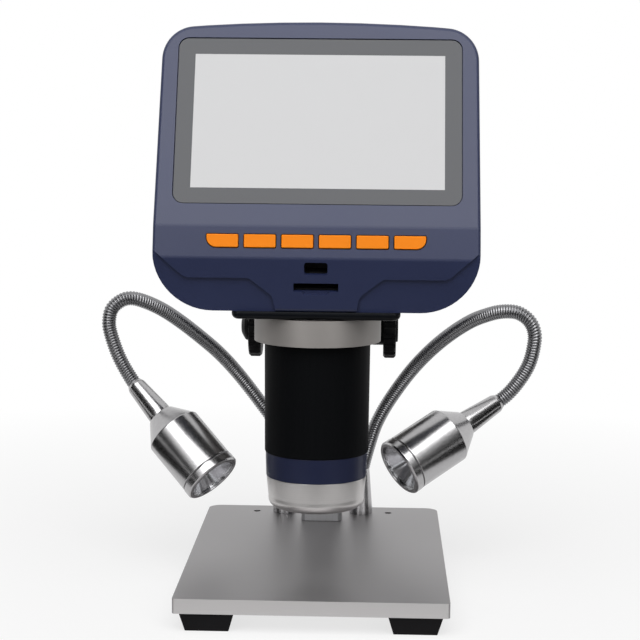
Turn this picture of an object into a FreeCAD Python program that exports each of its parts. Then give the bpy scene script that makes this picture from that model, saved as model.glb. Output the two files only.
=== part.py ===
import FreeCAD, Part
import math
import os
import re

import Sketcher

# Desk-top digital microscope with a tilted screen head, millimetres.
# Origin: where the optical axis meets the top of the base plate. +Z up, the user sits at -Y.

SIZES = {
    # base plate, its feet and the two tapped holes at the back of the stage
    "plate_width": 102.4,
    "plate_front": 49.3,
    "plate_back": 102.4,
    "plate_thick": 5.6,
    "plate_back_corner": 5.5,
    "plate_front_corner": 1.5,
    "stage_hole_radius": 1.5,
    "stage_hole_spacing": 58.4,
    "stage_hole_back": 92.0,
    "foot_width": 20.4,
    "foot_sole": 16.2,
    "foot_height": 7.4,
    "foot_centre": 38.6,
    "foot_inset": 11.6,
    "foot_screw_radius": 1.5,
    "foot_head_radius": 2.9,
    "foot_head_height": 2.0,
    "foot_head_depth": 3.0,
    # column, rack and the two screws that hold the column
    "column_width": 17.5,
    "column_front": 74.5,
    "column_depth": 14.0,
    "column_height": 142.0,
    "column_chamfer": 1.5,
    "column_cap_thick": 2.5,
    "column_screw_radius": 2.0,
    "column_screw_head": 3.6,
    "column_screw_spacing": 7.0,
    "column_screw_length": 14.0,
    "rack_width": 6.0,
    "rack_sunk": 1.5,
    "rack_back": 2.2,
    "rack_low": 58.0,
    "tooth_module": 1.0,
    "tooth_backlash": 0.3,
    "pinion_teeth": 12,
    "pinion_width": 7.4,
    # carriage that slides on the column, with the pinion cross hole
    "carriage_half": 19.6,
    "carriage_low": 74.0,
    "carriage_high": 100.3,
    "carriage_front": 55.0,
    "carriage_wall": 6.0,
    "slide_gap": 0.08,
    "seat_gap": 0.02,
    "shaft_radius": 3.0,
    "shaft_height": 86.7,
    "shaft_gap": 0.05,
    "knob_radius": 13.0,
    "knob_inner": 25.8,
    "knob_thick": 5.3,
    "knob_hub_radius": 7.5,
    "knob_hub_length": 4.5,
    "knob_flutes": 18,
    "knob_flute_radius": 1.6,
    "cap_radius": 6.2,
    "cap_dome": 3.5,
    "boss_thick": 0.9,
    # ring that holds the barrel
    "ring_radius": 24.5,
    "ring_low": 90.2,
    "ring_high": 100.3,
    "arm_half": 13.0,
    "bracket_screw_radius": 2.0,
    "bracket_screw_head": 3.4,
    "bracket_screw_spread": 16.0,
    "bracket_screw_length": 9.0,
    "clamp_screw_radius": 2.0,
    "clamp_screw_angle": 35.0,
    # barrel, focusing sleeve and nose
    "core_radius": 19.0,
    "core_bore": 17.0,
    "collar_radius": 21.2,
    "core_low": 68.0,
    "grip_top_radius": 20.5,
    "grip_low_radius": 20.2,
    "grip_low": 46.5,
    "grip_gap": 0.3,
    "band_radius": 19.9,
    "band_low": 37.0,
    "sleeve_gap": 0.08,
    "nose_radius": 19.5,
    "nose_low": 24.6,
    "nose_round": 3.6,
    "nose_bore": 12.0,
    "carrier_radius": 16.9,
    "carrier_top": 92.0,
    "carrier_low": 46.0,
    "lens_radius": 9.0,
    # screen head
    "head_half_top": 60.2,
    "head_half_low": 61.0,
    "head_top": 211.8,
    "head_crown": 2.8,
    "head_bottom": 103.7,
    "head_top_corner": 12.5,
    "head_low_corner": 22.0,
    "crease_y": -26.6,
    "crease_z": 136.0,
    "ridge_y": -28.6,
    "ridge_z": 124.2,
    "chin_y": -24.0,
    "screen_tilt": 22.0,
    "head_split": 8.0,
    "head_back": 26.0,
    "head_back_z": 125.0,
    "head_back_top": 20.5,
    "head_wall": 2.2,
    "flange_half": 31.7,
    "flange_depth": 24.0,
    "flange_thick": 3.1,
    "flange_round": 2.2,
    "glass_width": 107.4,
    "glass_height": 66.0,
    "glass_thick": 1.2,
    "glass_corner": 3.8,
    "glass_rise": 41.8,
    "glass_sunk": 0.3,
    "panel_width": 102.0,
    "panel_height": 61.0,
    "panel_thick": 4.0,
    "board_thick": 1.6,
    "button_width": 11.8,
    "button_pitch": 13.9,
    "button_height": 4.9,
    "button_depth": 5.0,
    "button_proud": 0.5,
    "button_rise": 6.3,
    "button_gap": 0.3,
    "button_round": 3.6,
    "usb_width": 8.7,
    "usb_height": 4.8,
    "usb_drop": 4.0,
    "usb_depth": 9.0,
    "card_width": 16.7,
    "card_height": 3.3,
    "card_drop": 11.3,
    "card_depth": 15.0,
    "scoop_radius": 5.0,
    "recess_depth": 1.2,
    "recess_top": 116.5,
    "recess_in_top": 25.0,
    "recess_in_low": 14.8,
    "head_screw_radius": 1.5,
    "head_screw_head": 2.8,
    "head_screw_head_thick": 1.8,
    "head_screw_low": 120.0,
    "head_screw_low_half": 50.0,
    "head_screw_high": 196.0,
    "head_screw_high_half": 48.0,
    # lamps on flexible necks
    "ferrule_spread": 17.0,
    "ferrule_back": 91.7,
    "ferrule_radius": 5.1,
    "ferrule_tip": 3.6,
    "ferrule_height": 20.5,
    "stud_radius": 2.5,
    "nut_radius": 4.6,
    "nut_thick": 2.6,
    "neck_radius": 3.0,
    "neck_bore": 1.8,
    "neck_joint_gap": 0.3,
    "lamp_ferrule_length": 18.2,
    "lamp_ferrule_radius": 5.0,
    "lamp_cone": 8.8,
    "lamp_barrel": 22.0,
    "lamp_radius": 11.8,
    "lamp_wall": 1.4,
    "bezel_length": 4.2,
    "bezel_lip": 1.6,
    "bezel_groove": 0.7,
    "bezel_edge": 0.6,
    "lamp_lens_sunk": 0.8,
    "lamp_lens_thick": 1.6,
    "reflector_depth": 9.0,
    "led_radius": 3.0,
}

# Where each neck runs, from its ferrule up to the crown and down to its lamp; the crown is the
# place where the two stretches meet, and the lamp's aim is the way it points.
NECK_UP = {
    "left": [(-17.0, 91.7, 20.5), (-17.2, 91.7, 31.0), (-22.5, 91.0, 42.5), (-31.8, 88.8, 56.0),
             (-43.2, 81.5, 71.2), (-54.8, 68.3, 83.8), (-66.0, 56.3, 94.3)],
    "right": [(17.0, 91.7, 20.5), (17.3, 91.7, 31.0), (22.8, 90.2, 42.5), (31.5, 86.8, 57.0),
              (43.5, 76.8, 73.5), (54.5, 65.2, 85.0), (64.5, 54.3, 93.2)],
}
NECK_DOWN = {
    "left": [(-82.5, 46.2, 101.4), (-88.6, 43.8, 95.2), (-88.4, 42.0, 84.0)],
    "right": [(80.8, 44.2, 98.4), (88.2, 41.5, 92.6), (88.7, 42.8, 79.5)],
}
NECK_END = {"left": (-76.5, 38.3, 65.3), "right": (73.6, 46.0, 58.8)}
LAMP_AIM = {"left": (0.648, -0.391, -0.654), "right": (-0.774, -0.450, -0.446)}

UP = FreeCAD.Vector(0, 0, 1)
ACROSS = FreeCAD.Vector(1, 0, 0)

doc = FreeCAD.newDocument("microscope")
sheet = doc.addObject("Spreadsheet::Sheet", "Sizes")
for row, (alias, size) in enumerate(SIZES.items(), start=1):
    sheet.set(f"A{row}", alias)
    sheet.set(f"B{row}", str(size))
    sheet.setAlias(f"B{row}", alias)
doc.recompute()
subparts = []


def bound(text):
    """The expression with every size name pointing at the sheet."""
    return re.sub(r"[a-z_]+", lambda m: "Sizes." + m[0] if m[0] in SIZES else m[0], str(text))


def mm(text):
    """The value of an expression of size names."""
    result = sheet.evalExpression(bound(text))
    return float(getattr(result, "Value", result))


def bind(thing, **expressions):
    for prop, text in expressions.items():
        thing.setExpression(prop, bound(text))
    return thing


def place(thing, x=0, y=0, z=0, axis=UP, angle=0.0):
    """Put a piece at x, y, z, turned about axis."""
    base = FreeCAD.Vector(mm(x), mm(y), mm(z))
    thing.Placement = FreeCAD.Placement(base, FreeCAD.Rotation(axis, angle))
    if angle == 0.0:
        moves = {".Placement.Base.x": x, ".Placement.Base.y": y, ".Placement.Base.z": z}
        bind(thing, **{way: text for way, text in moves.items() if text != 0})
    return thing


def keep(thing, label):
    """Name a sub-part; it becomes a node of its own."""
    thing.Label = label
    subparts.append(thing)
    return thing


def cylinder(radius, height, **where):
    return place(bind(doc.addObject("Part::Cylinder", "Cylinder"), Radius=radius, Height=height), **where)


def box(length, width, height, **where):
    """A box centred on x and y, standing on z."""
    solid = bind(doc.addObject("Part::Box", "Box"), Length=length, Width=width, Height=height)
    where["x"] = f"{where.get('x', 0)} - ({length}) / 2"
    where["y"] = f"{where.get('y', 0)} - ({width}) / 2"
    return place(solid, **where)


def fuse(*solids):
    joined = doc.addObject("Part::MultiFuse", "Fuse")
    joined.Shapes = list(solids)
    return joined


def cut(solid, *tools):
    result = doc.addObject("Part::Cut", "Cut")
    result.Base = solid
    result.Tool = tools[0] if len(tools) == 1 else fuse(*tools)
    return result


def common(*solids):
    result = doc.addObject("Part::MultiCommon", "Common")
    result.Shapes = list(solids)
    return result


def group(*solids):
    together = doc.addObject("Part::Compound", "Group")
    together.Links = list(solids)
    return together


def feature(shape):
    """A solid made with Part's own functions, where no primitive or sketch fits."""
    solid = doc.addObject("Part::Feature", "Solid")
    solid.Shape = shape
    return solid


def sketch_in(body, plane, corners, arcs=None):
    """A closed outline on one of the body's planes; corners are pairs of expressions.

    arcs maps the number of a side to the radius of the arc that it bulges out by.
    """
    drawing = body.newObject("Sketcher::SketchObject", "Outline")
    origin_plane = [f for f in body.Origin.OriginFeatures if f.Role == plane][0]
    drawing.AttachmentSupport = [(origin_plane, "")]
    drawing.MapMode = "FlatFace"
    points = [FreeCAD.Vector(mm(a), mm(b), 0) for a, b in corners]
    count = len(points)
    for side, start in enumerate(points):
        end = points[(side + 1) % count]
        if arcs and side in arcs:
            radius = mm(arcs[side])
            chord = end - start
            out = FreeCAD.Vector(chord.y, -chord.x, 0).normalize()
            rise = radius - math.sqrt(radius ** 2 - chord.Length ** 2 / 4)
            middle = (start + end) / 2 + out * rise
            drawing.addGeometry(Part.Arc(start, middle, end))
        else:
            drawing.addGeometry(Part.LineSegment(start, end))
    if not arcs:
        for side in range(count):
            drawing.addConstraint(Sketcher.Constraint("Coincident", side, 2, (side + 1) % count, 1))
        for side, (a, b) in enumerate(corners):
            for kind, text, value in (("DistanceX", a, points[side].x), ("DistanceY", b, points[side].y)):
                number = drawing.addConstraint(Sketcher.Constraint(kind, -1, 1, side, 1, value))
                drawing.setExpression(f"Constraints[{number}]", bound(text))
    return drawing


def pad(corners, depth, plane="XY_Plane", arcs=None, midplane=False, **where):
    """A body padded from an outline."""
    body = doc.addObject("PartDesign::Body", "Body")
    drawing = sketch_in(body, plane, corners, arcs)
    solid = bind(body.newObject("PartDesign::Pad", "Pad"), Length=depth)
    solid.Profile = drawing
    solid.Midplane = midplane
    return place(body, **where)


def turned(corners, **where):
    """A body turned about its own Z axis from a half section of (radius, height) pairs."""
    body = doc.addObject("PartDesign::Body", "Body")
    drawing = sketch_in(body, "XZ_Plane", corners)
    solid = body.newObject("PartDesign::Revolution", "Revolution")
    solid.Profile = drawing
    solid.ReferenceAxis = (drawing, ["V_Axis"])
    solid.Angle = 360
    return place(body, **where)


def rounded(body, radius, chosen, kind="PartDesign::Fillet"):
    """Fillet or chamfer the edges of a body that the test picks."""
    doc.recompute()
    tip = body.Tip
    names = [f"Edge{i}" for i, edge in enumerate(tip.Shape.Edges, start=1) if chosen(edge)]
    dressed = body.newObject(kind, "Dressed")
    dressed.Base = (tip, names)
    bind(dressed, **({"Radius": radius} if kind.endswith("Fillet") else {"Size": radius}))
    return body


def upright(edge, direction=UP):
    """Straight edges that run along a direction."""
    if not isinstance(edge.Curve, Part.Line):
        return False
    return abs(edge.Curve.Direction.dot(direction)) > 0.999


def slab(width, height, thick, corner=None, **where):
    """A plate centred on its own origin, thickness along its +Z, with rounded corners."""
    corners = [(f"-({width}) / 2", f"-({height}) / 2"), (f"({width}) / 2", f"-({height}) / 2"),
               (f"({width}) / 2", f"({height}) / 2"), (f"-({width}) / 2", f"({height}) / 2")]
    body = pad(corners, thick)
    if corner is not None:
        rounded(body, corner, upright)
    return place(body, **where)


def screw(head_radius, head_height, radius, length, **where):
    """A cap screw whose head stands on z and whose shank points up."""
    head = cylinder(head_radius, head_height)
    socket = cylinder(f"{head_radius} * 0.5", f"{head_height} * 0.6")
    shank = cylinder(radius, length, z=head_height)
    return place(cut(fuse(head, shank), socket), **where)


def make_base():
    """Base plate with its holes, four rubber feet and their screws."""
    half = "plate_width / 2"
    plate = pad([(f"-{half}", "-plate_front"), (half, "-plate_front"),
                 (half, "plate_back"), (f"-{half}", "plate_back")], "plate_thick", z="-plate_thick")
    rounded(plate, "plate_back_corner", lambda e: upright(e) and e.Vertexes[0].Y > 0)
    rounded(plate, "plate_front_corner", lambda e: upright(e) and e.Vertexes[0].Y < 1 - mm("plate_front"))
    under = "-plate_thick - 1"
    through = "plate_thick + 2"
    holes = []
    for side in (-1, 1):
        holes.append(cylinder("stage_hole_radius", through, x=f"{side} * stage_hole_spacing / 2",
                              y="stage_hole_back", z=under))
        holes.append(cylinder("stud_radius + shaft_gap", through, x=f"{side} * ferrule_spread",
                              y="ferrule_back", z=under))
    for row in (-1, 1):
        holes.append(cylinder("column_screw_radius + shaft_gap", through,
                              y=f"column_front + column_depth / 2 + {row} * column_screw_spacing / 2", z=under))
    screws = []
    for depth, y in (("front", "foot_inset - plate_front"), ("rear", "plate_back - foot_inset")):
        for name, side in (("left", -1), ("right", 1)):
            x = f"{side} * foot_centre"
            holes.append(cylinder("foot_screw_radius + shaft_gap", "plate_thick - 1", x=x, y=y,
                                  z="-plate_thick - 0.5"))
            wedge = doc.addObject("Part::Wedge", "Foot")
            bind(wedge, Xmin="-foot_width / 2", Xmax="foot_width / 2", Zmin="-foot_width / 2",
                 Zmax="foot_width / 2", Ymin="0", Ymax="foot_height", X2min="-foot_sole / 2",
                 X2max="foot_sole / 2", Z2min="-foot_sole / 2", Z2max="foot_sole / 2")
            place(wedge, x=x, y=y, z="-plate_thick", axis=ACROSS, angle=-90)
            sole = "-plate_thick - foot_height"
            well = cylinder("foot_head_radius + 0.4", "foot_head_depth + 1", x=x, y=y, z=f"{sole} - 1")
            bore = cylinder("foot_screw_radius + shaft_gap", "foot_height", x=x, y=y, z=sole)
            keep(cut(wedge, well, bore), f"foot_{depth}_{name}")
            screws.append(screw("foot_head_radius", "foot_head_height", "foot_screw_radius",
                                "foot_height - foot_head_depth + 3.8",
                                x=x, y=y, z=f"{sole} + foot_head_depth - foot_head_height"))
    keep(cut(plate, *holes), "base_plate")
    keep(group(*screws), "foot_screws")


def rack_shape():
    """Straight-sided rack teeth along Z, on a strip that is let into the column."""
    module = mm("tooth_module")
    pitch = math.pi * module
    face = mm("column_front + rack_sunk")
    root = mm("column_front - rack_back + rack_sunk")
    tip = root - 1.85 * module
    half_root = pitch / 4 + 1.15 * module * math.tan(math.radians(20)) - mm("tooth_backlash") / 2
    half_tip = pitch / 4 - 0.7 * module * math.tan(math.radians(20)) - mm("tooth_backlash") / 2
    low = mm("rack_low")
    high = mm("column_height") - 2 * module
    first = math.ceil((low - mm("shaft_height")) / pitch) + 1
    last = math.floor((high - mm("shaft_height")) / pitch) - 1
    points = [(face, low), (root, low)]
    for number in range(first, last + 1):
        z = mm("shaft_height") + number * pitch
        points += [(root, z - half_root), (tip, z - half_tip), (tip, z + half_tip), (root, z + half_root)]
    points += [(root, high), (face, high)]
    wire = Part.makePolygon([FreeCAD.Vector(-mm("rack_width") / 2, y, z) for y, z in points + points[:1]])
    return Part.Face(wire).extrude(ACROSS * mm("rack_width"))


def pinion_centre():
    """Depth of the pinion axis: one pitch radius in front of the rack's pitch line."""
    pitch_line = mm("column_front - rack_back + rack_sunk") - 1.15 * mm("tooth_module")
    return pitch_line - mm("pinion_teeth * tooth_module / 2")


def gear_shape():
    """Involute pinion about the X axis, with a gap between teeth facing the rack tooth at rest."""
    module = mm("tooth_module")
    teeth = int(mm("pinion_teeth"))
    pitch = teeth * module / 2
    base = pitch * math.cos(math.radians(20))
    tip = pitch + 0.9 * module
    root = pitch - 1.1 * module

    def spread(radius):
        ratio = math.acos(min(1.0, base / radius))
        return math.tan(ratio) - ratio

    half = math.pi / (2 * teeth) - mm("tooth_backlash") / (4 * pitch) + spread(pitch)
    flank = [base, (base + pitch) / 2, pitch, (pitch + tip) / 2, tip]
    points = []
    for number in range(teeth):
        middle = math.pi / 2 + (number + 0.5) * 2 * math.pi / teeth
        points.append((root, middle - half))
        points += [(radius, middle - half + spread(radius)) for radius in flank]
        points += [(radius, middle + half - spread(radius)) for radius in reversed(flank)]
        points.append((root, middle + half))
    width = mm("pinion_width")
    ring = [FreeCAD.Vector(-width / 2, r * math.sin(a), r * math.cos(a)) for r, a in points]
    return Part.Face(Part.makePolygon(ring + ring[:1])).extrude(ACROSS * width)


def make_column():
    """Column, rack, screws from below and the end cap."""
    half = "column_width / 2"
    back = "column_front + column_depth"
    outline = [(f"-{half}", "column_front"), (half, "column_front"), (half, back), (f"-{half}", back)]
    bar = pad(outline, "column_height")
    rounded(bar, "column_chamfer", upright, "PartDesign::Chamfer")
    seat = box("rack_width", "2 * rack_sunk", "column_height", y="column_front", z="rack_low")
    cap = pad(outline, "column_cap_thick", z="column_height")
    rounded(cap, "column_chamfer", upright, "PartDesign::Chamfer")
    holes = []
    screws = []
    for row in (-1, 1):
        y = f"column_front + column_depth / 2 + {row} * column_screw_spacing / 2"
        holes.append(cylinder("column_screw_radius + shaft_gap", "column_screw_length - plate_thick + 1",
                              y=y, z=-0.5))
        screws.append(screw("column_screw_head", "column_screw_radius * 2", "column_screw_radius",
                            "column_screw_length", y=y, z="-plate_thick - column_screw_radius * 2"))
    keep(cut(bar, seat, *holes), "column")
    keep(cap, "column_cap")
    keep(group(*screws), "column_screws")
    keep(feature(rack_shape()), "rack")


def make_carriage():
    """Carriage round the column, pinion with its bush, knobs and shaft caps."""
    axis_y = pinion_centre()
    half = "carriage_half"
    back = "column_front + column_depth + carriage_wall"
    height = "carriage_high - carriage_low"
    block = pad([(f"-{half}", "carriage_front + 6"), (f"-{half} + 6", "carriage_front"),
                 (f"{half} - 6", "carriage_front"), (half, "carriage_front + 6"), (half, back),
                 (f"-{half}", back)], height, z="carriage_low")
    rounded(block, "2.5", lambda e: upright(e) and e.Vertexes[0].Y > mm("column_front"))
    gap = "2 * slide_gap"
    way = box(f"column_width + {gap}", f"column_depth + {gap}", f"{height} + 2",
              y="column_front + column_depth / 2", z="carriage_low - 1")
    rack_way = box("rack_width + 0.8", "12", f"{height} + 2", y="column_front - 0.5", z="carriage_low - 1")
    cavity_radius = mm("pinion_teeth * tooth_module / 2 + 1.3 * tooth_module")
    right_end = mm("pinion_width / 2 + 0.4")
    reach = mm("carriage_half")
    cavity = cylinder(cavity_radius, reach + right_end + 1, x=-reach - 1, y=axis_y, z="shaft_height",
                      axis=FreeCAD.Vector(0, 1, 0), angle=90)
    bore = cylinder("shaft_radius + shaft_gap", 2 * reach + 2, x=-reach - 1, y=axis_y, z="shaft_height",
                    axis=FreeCAD.Vector(0, 1, 0), angle=90)
    taps = []
    screws = []
    for side in (-1, 1):
        where = {"x": f"{side} * bracket_screw_spread / 2", "z": "(ring_low + ring_high) / 2"}
        taps.append(cylinder("bracket_screw_radius + shaft_gap", "bracket_screw_length - 2",
                             y="carriage_front - 1", axis=ACROSS, angle=-90, **where))
        screws.append(screw("bracket_screw_head", "bracket_screw_radius * 1.6", "bracket_screw_radius",
                            "bracket_screw_length", y="carriage_front - 4 - bracket_screw_radius * 1.6",
                            axis=ACROSS, angle=-90, **where))
    keep(cut(block, way, rack_way, cavity, bore, *taps), "carriage")
    keep(group(*screws), "bracket_screws")

    bush_length = reach - right_end
    bush = cut(cylinder(cavity_radius - mm("seat_gap"), bush_length, x=-reach, y=axis_y, z="shaft_height",
                        axis=FreeCAD.Vector(0, 1, 0), angle=90),
               cylinder("shaft_radius + shaft_gap", bush_length + 2, x=-reach - 1, y=axis_y,
                        z="shaft_height", axis=FreeCAD.Vector(0, 1, 0), angle=90))
    keep(bush, "pinion_bush")

    inner = mm("knob_inner")
    shaft = cylinder("shaft_radius", 2 * inner + 2 * mm("knob_thick"), x=-inner - mm("knob_thick"), y=axis_y,
                     z="shaft_height", axis=FreeCAD.Vector(0, 1, 0), angle=90)
    gear = place(feature(gear_shape()), y=axis_y, z="shaft_height")
    keep(fuse(shaft, gear), "pinion_shaft")
    for name, side in (("left", -1), ("right", 1)):
        bore = "shaft_radius + seat_gap"
        body = turned([(bore, "-knob_hub_length"), ("knob_hub_radius", "-knob_hub_length"),
                       ("knob_hub_radius", "0"),
                       ("knob_radius - 0.8", "0"), ("knob_radius", "0.8"),
                       ("knob_radius", "knob_thick - 0.8"), ("knob_radius - 0.8", "knob_thick"),
                       (bore, "knob_thick")])
        flute = body.newObject("Sketcher::SketchObject", "Flute")
        flute.AttachmentSupport = [([f for f in body.Origin.OriginFeatures if f.Role == "XY_Plane"][0], "")]
        flute.MapMode = "FlatFace"
        centre = FreeCAD.Vector(mm("knob_radius + knob_flute_radius * 0.6"), 0, 0)
        flute.addGeometry(Part.Circle(centre, UP, mm("knob_flute_radius")))
        groove = body.newObject("PartDesign::Pocket", "Groove")
        groove.Profile = flute
        groove.Type = 1
        groove.Midplane = True
        flutes = body.newObject("PartDesign::PolarPattern", "Flutes")
        flutes.Originals = [groove]
        flutes.Axis = (flute, ["N_Axis"])
        flutes.Angle = 360
        flutes.Occurrences = int(mm("knob_flutes"))
        body.Tip = flutes
        place(body, x=side * inner, y=axis_y, z="shaft_height", axis=FreeCAD.Vector(0, 1, 0), angle=side * 90)
        thick = "cap_dome" if name == "left" else "boss_thick"
        crown = "cap_radius * 0.45" if name == "left" else "cap_radius - 0.3"
        shoulder = "cap_dome * 0.45" if name == "left" else "boss_thick * 0.6"
        cap = turned([("0", "0"), ("cap_radius", "0"), ("cap_radius", shoulder), (crown, thick), ("0", thick)])
        place(cap, x=side * mm("knob_inner + knob_thick"), y=axis_y, z="shaft_height",
              axis=FreeCAD.Vector(0, 1, 0), angle=side * 90)
        if name == "left":
            keep(body, "focus_knob_left")
            keep(cap, "shaft_cap_left")
        else:
            keep(fuse(body, cap), "focus_knob_right")


def make_ring():
    """Ring and arm that carry the barrel, with the grub screw that clamps it."""
    height = "ring_high - ring_low"
    ring = cylinder("ring_radius", height, z="ring_low")
    arm = pad([("-arm_half", "0"), ("arm_half", "0"), ("arm_half", "carriage_front"),
               ("-arm_half", "carriage_front")], height, z="ring_low")
    hole = cylinder("collar_radius", f"{height} + 2", z="ring_low - 1")
    middle = "(ring_low + ring_high) / 2"
    pocket = box("arm_half * 2 + 1", "14", "6.8", y="carriage_front - 11", z=f"{middle} - 3.4")
    cuts = []
    for side in (-1, 1):
        cuts.append(cylinder("bracket_screw_radius + shaft_gap", 8, x=f"{side} * bracket_screw_spread / 2",
                             y="carriage_front - 6", z=middle, axis=ACROSS, angle=-90))
    lean = math.radians(mm("clamp_screw_angle"))
    radial = FreeCAD.Rotation(UP, FreeCAD.Vector(math.cos(lean), math.sin(lean), 0))
    start = radial.multVec(UP) * mm("collar_radius - 0.5")
    tap = cylinder("clamp_screw_radius + seat_gap", "ring_radius - collar_radius + 3")
    tap.Placement = FreeCAD.Placement(start + UP * mm(middle), radial)
    grub = cut(cylinder("clamp_screw_radius", "ring_radius - collar_radius - 0.6"),
               cylinder("clamp_screw_radius * 0.5", 2, z="ring_radius - collar_radius - 2"))
    seat = radial.multVec(UP) * mm("collar_radius + seat_gap")
    grub.Placement = FreeCAD.Placement(seat + UP * mm(middle), radial)
    keep(cut(fuse(ring, arm), hole, pocket, tap, *cuts), "ring_holder")
    keep(grub, "clamp_screw")


def make_barrel():
    """Fixed barrel core, turning sleeve with band and nose, and the lens carrier that it drives."""
    top = "head_bottom"
    keep(turned([("core_bore", "core_low"), ("core_radius", "core_low"),
                 ("core_radius", "ring_low - grip_gap / 2"), ("collar_radius - seat_gap", "ring_low - grip_gap / 2"),
                 ("collar_radius - seat_gap", "ring_high"), ("core_radius", "ring_high"), ("core_radius", top),
                 ("core_bore", top)]), "barrel_core")
    inner = "core_radius + sleeve_gap"
    keep(turned([(inner, "grip_low"), ("grip_low_radius", "grip_low"),
                 ("grip_top_radius", "ring_low - grip_gap * 2"), (inner, "ring_low - grip_gap * 2")]),
         "focus_grip")
    keep(turned([("carrier_radius + 0.4", "band_low"), ("band_radius - 0.3", "band_low"),
                 ("band_radius", "grip_low"), ("carrier_radius + 0.4", "grip_low")]), "colour_band")
    nose = turned([("nose_bore", "nose_low"), ("nose_radius - 0.8", "nose_low"),
                   ("nose_radius - 0.8", "nose_low + nose_round + 1"), ("nose_radius", "band_low"),
                   ("nose_radius - 3", "band_low"), ("nose_bore + 2", "nose_low + 3")])
    rim = mm("nose_radius - 0.8")
    rounded(nose, "nose_round", lambda e: isinstance(e.Curve, Part.Circle) and abs(e.Curve.Radius - rim) < 0.01)
    keep(nose, "nose_ring")
    thread = "core_radius - 0.1"
    keep(turned([("lens_radius + seat_gap", "carrier_low"), ("carrier_radius - 0.1", "carrier_low"),
                 ("carrier_radius - 0.1", "carrier_low + 5"), (thread, "carrier_low + 5"),
                 (thread, "carrier_low + 16"), ("carrier_radius", "carrier_low + 16"),
                 ("carrier_radius", "carrier_top"), ("carrier_radius - 1.6", "carrier_top"),
                 ("carrier_radius - 1.6", "carrier_low + 12"), ("lens_radius - 1.5", "carrier_low + 12"),
                 ("lens_radius - 1.5", "carrier_low + 6"), ("lens_radius + seat_gap", "carrier_low + 6")]),
         "lens_carrier")
    keep(turned([("0", "carrier_low + 0.8"), ("lens_radius * 0.6", "carrier_low + 1.3"),
                 ("lens_radius", "carrier_low + 2.4"), ("lens_radius", "carrier_low + 6"),
                 ("0", "carrier_low + 6")]), "objective_lens")


def screen_y(z):
    """Depth of the screen's face at a height."""
    return f"(crease_y + (({z}) - crease_z) * tan(screen_tilt))"


def on_face(low, high, share, lift):
    """Placement on a face of the head's profile: its own +Y runs up the face and +Z points out."""
    up = FreeCAD.Vector(0, high[0] - low[0], high[1] - low[1])
    rotation = FreeCAD.Rotation(ACROSS, math.degrees(math.atan2(up.z, up.y)))
    start = FreeCAD.Vector(0, low[0], low[1]) + rotation.multVec(FreeCAD.Vector(0, share, lift))
    return FreeCAD.Placement(start, rotation)


def head_outer(inset):
    """Head solid: the front outline and the side profile padded through each other."""
    side_top = f"head_half_top - {inset}"
    side_low = f"head_half_low - {inset}"
    shoulder = f"head_top - head_crown - {inset}"
    crown = "(head_half_top * head_half_top + head_crown * head_crown) / (2 * head_crown)"
    outline = [(f"-({side_low})", f"head_bottom + {inset}"), (side_low, f"head_bottom + {inset}"),
               (side_top, shoulder), (f"-({side_top})", shoulder)]
    body = pad(outline, "140", plane="XZ_Plane", arcs={2: crown}, midplane=True)
    middle = mm("head_bottom + 40")
    along = FreeCAD.Vector(0, 1, 0)
    rounded(body, f"head_low_corner - {inset}", lambda e: upright(e, along) and e.Vertexes[0].Z < middle)
    rounded(body, f"head_top_corner - {inset}", lambda e: upright(e, along) and e.Vertexes[0].Z > middle)
    high = "head_top + 4"
    back = "(head_back_top - head_back) / (head_top - head_back_z)"
    shift = f"{inset} / cos(screen_tilt)"
    corners = [(f"chin_y + {inset}", "head_bottom - 1"), (f"head_back - {inset}", "head_bottom - 1"),
               (f"head_back - {inset}", "head_back_z"),
               (f"head_back - {inset} + ({high} - head_back_z) * {back}", high),
               (f"{screen_y(high)} + {shift}", high), (f"crease_y + {inset}", "crease_z"),
               (f"ridge_y + {inset}", "ridge_z")]
    profile = pad(corners, "200", plane="YZ_Plane", midplane=True)
    return common(body, profile)


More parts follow.
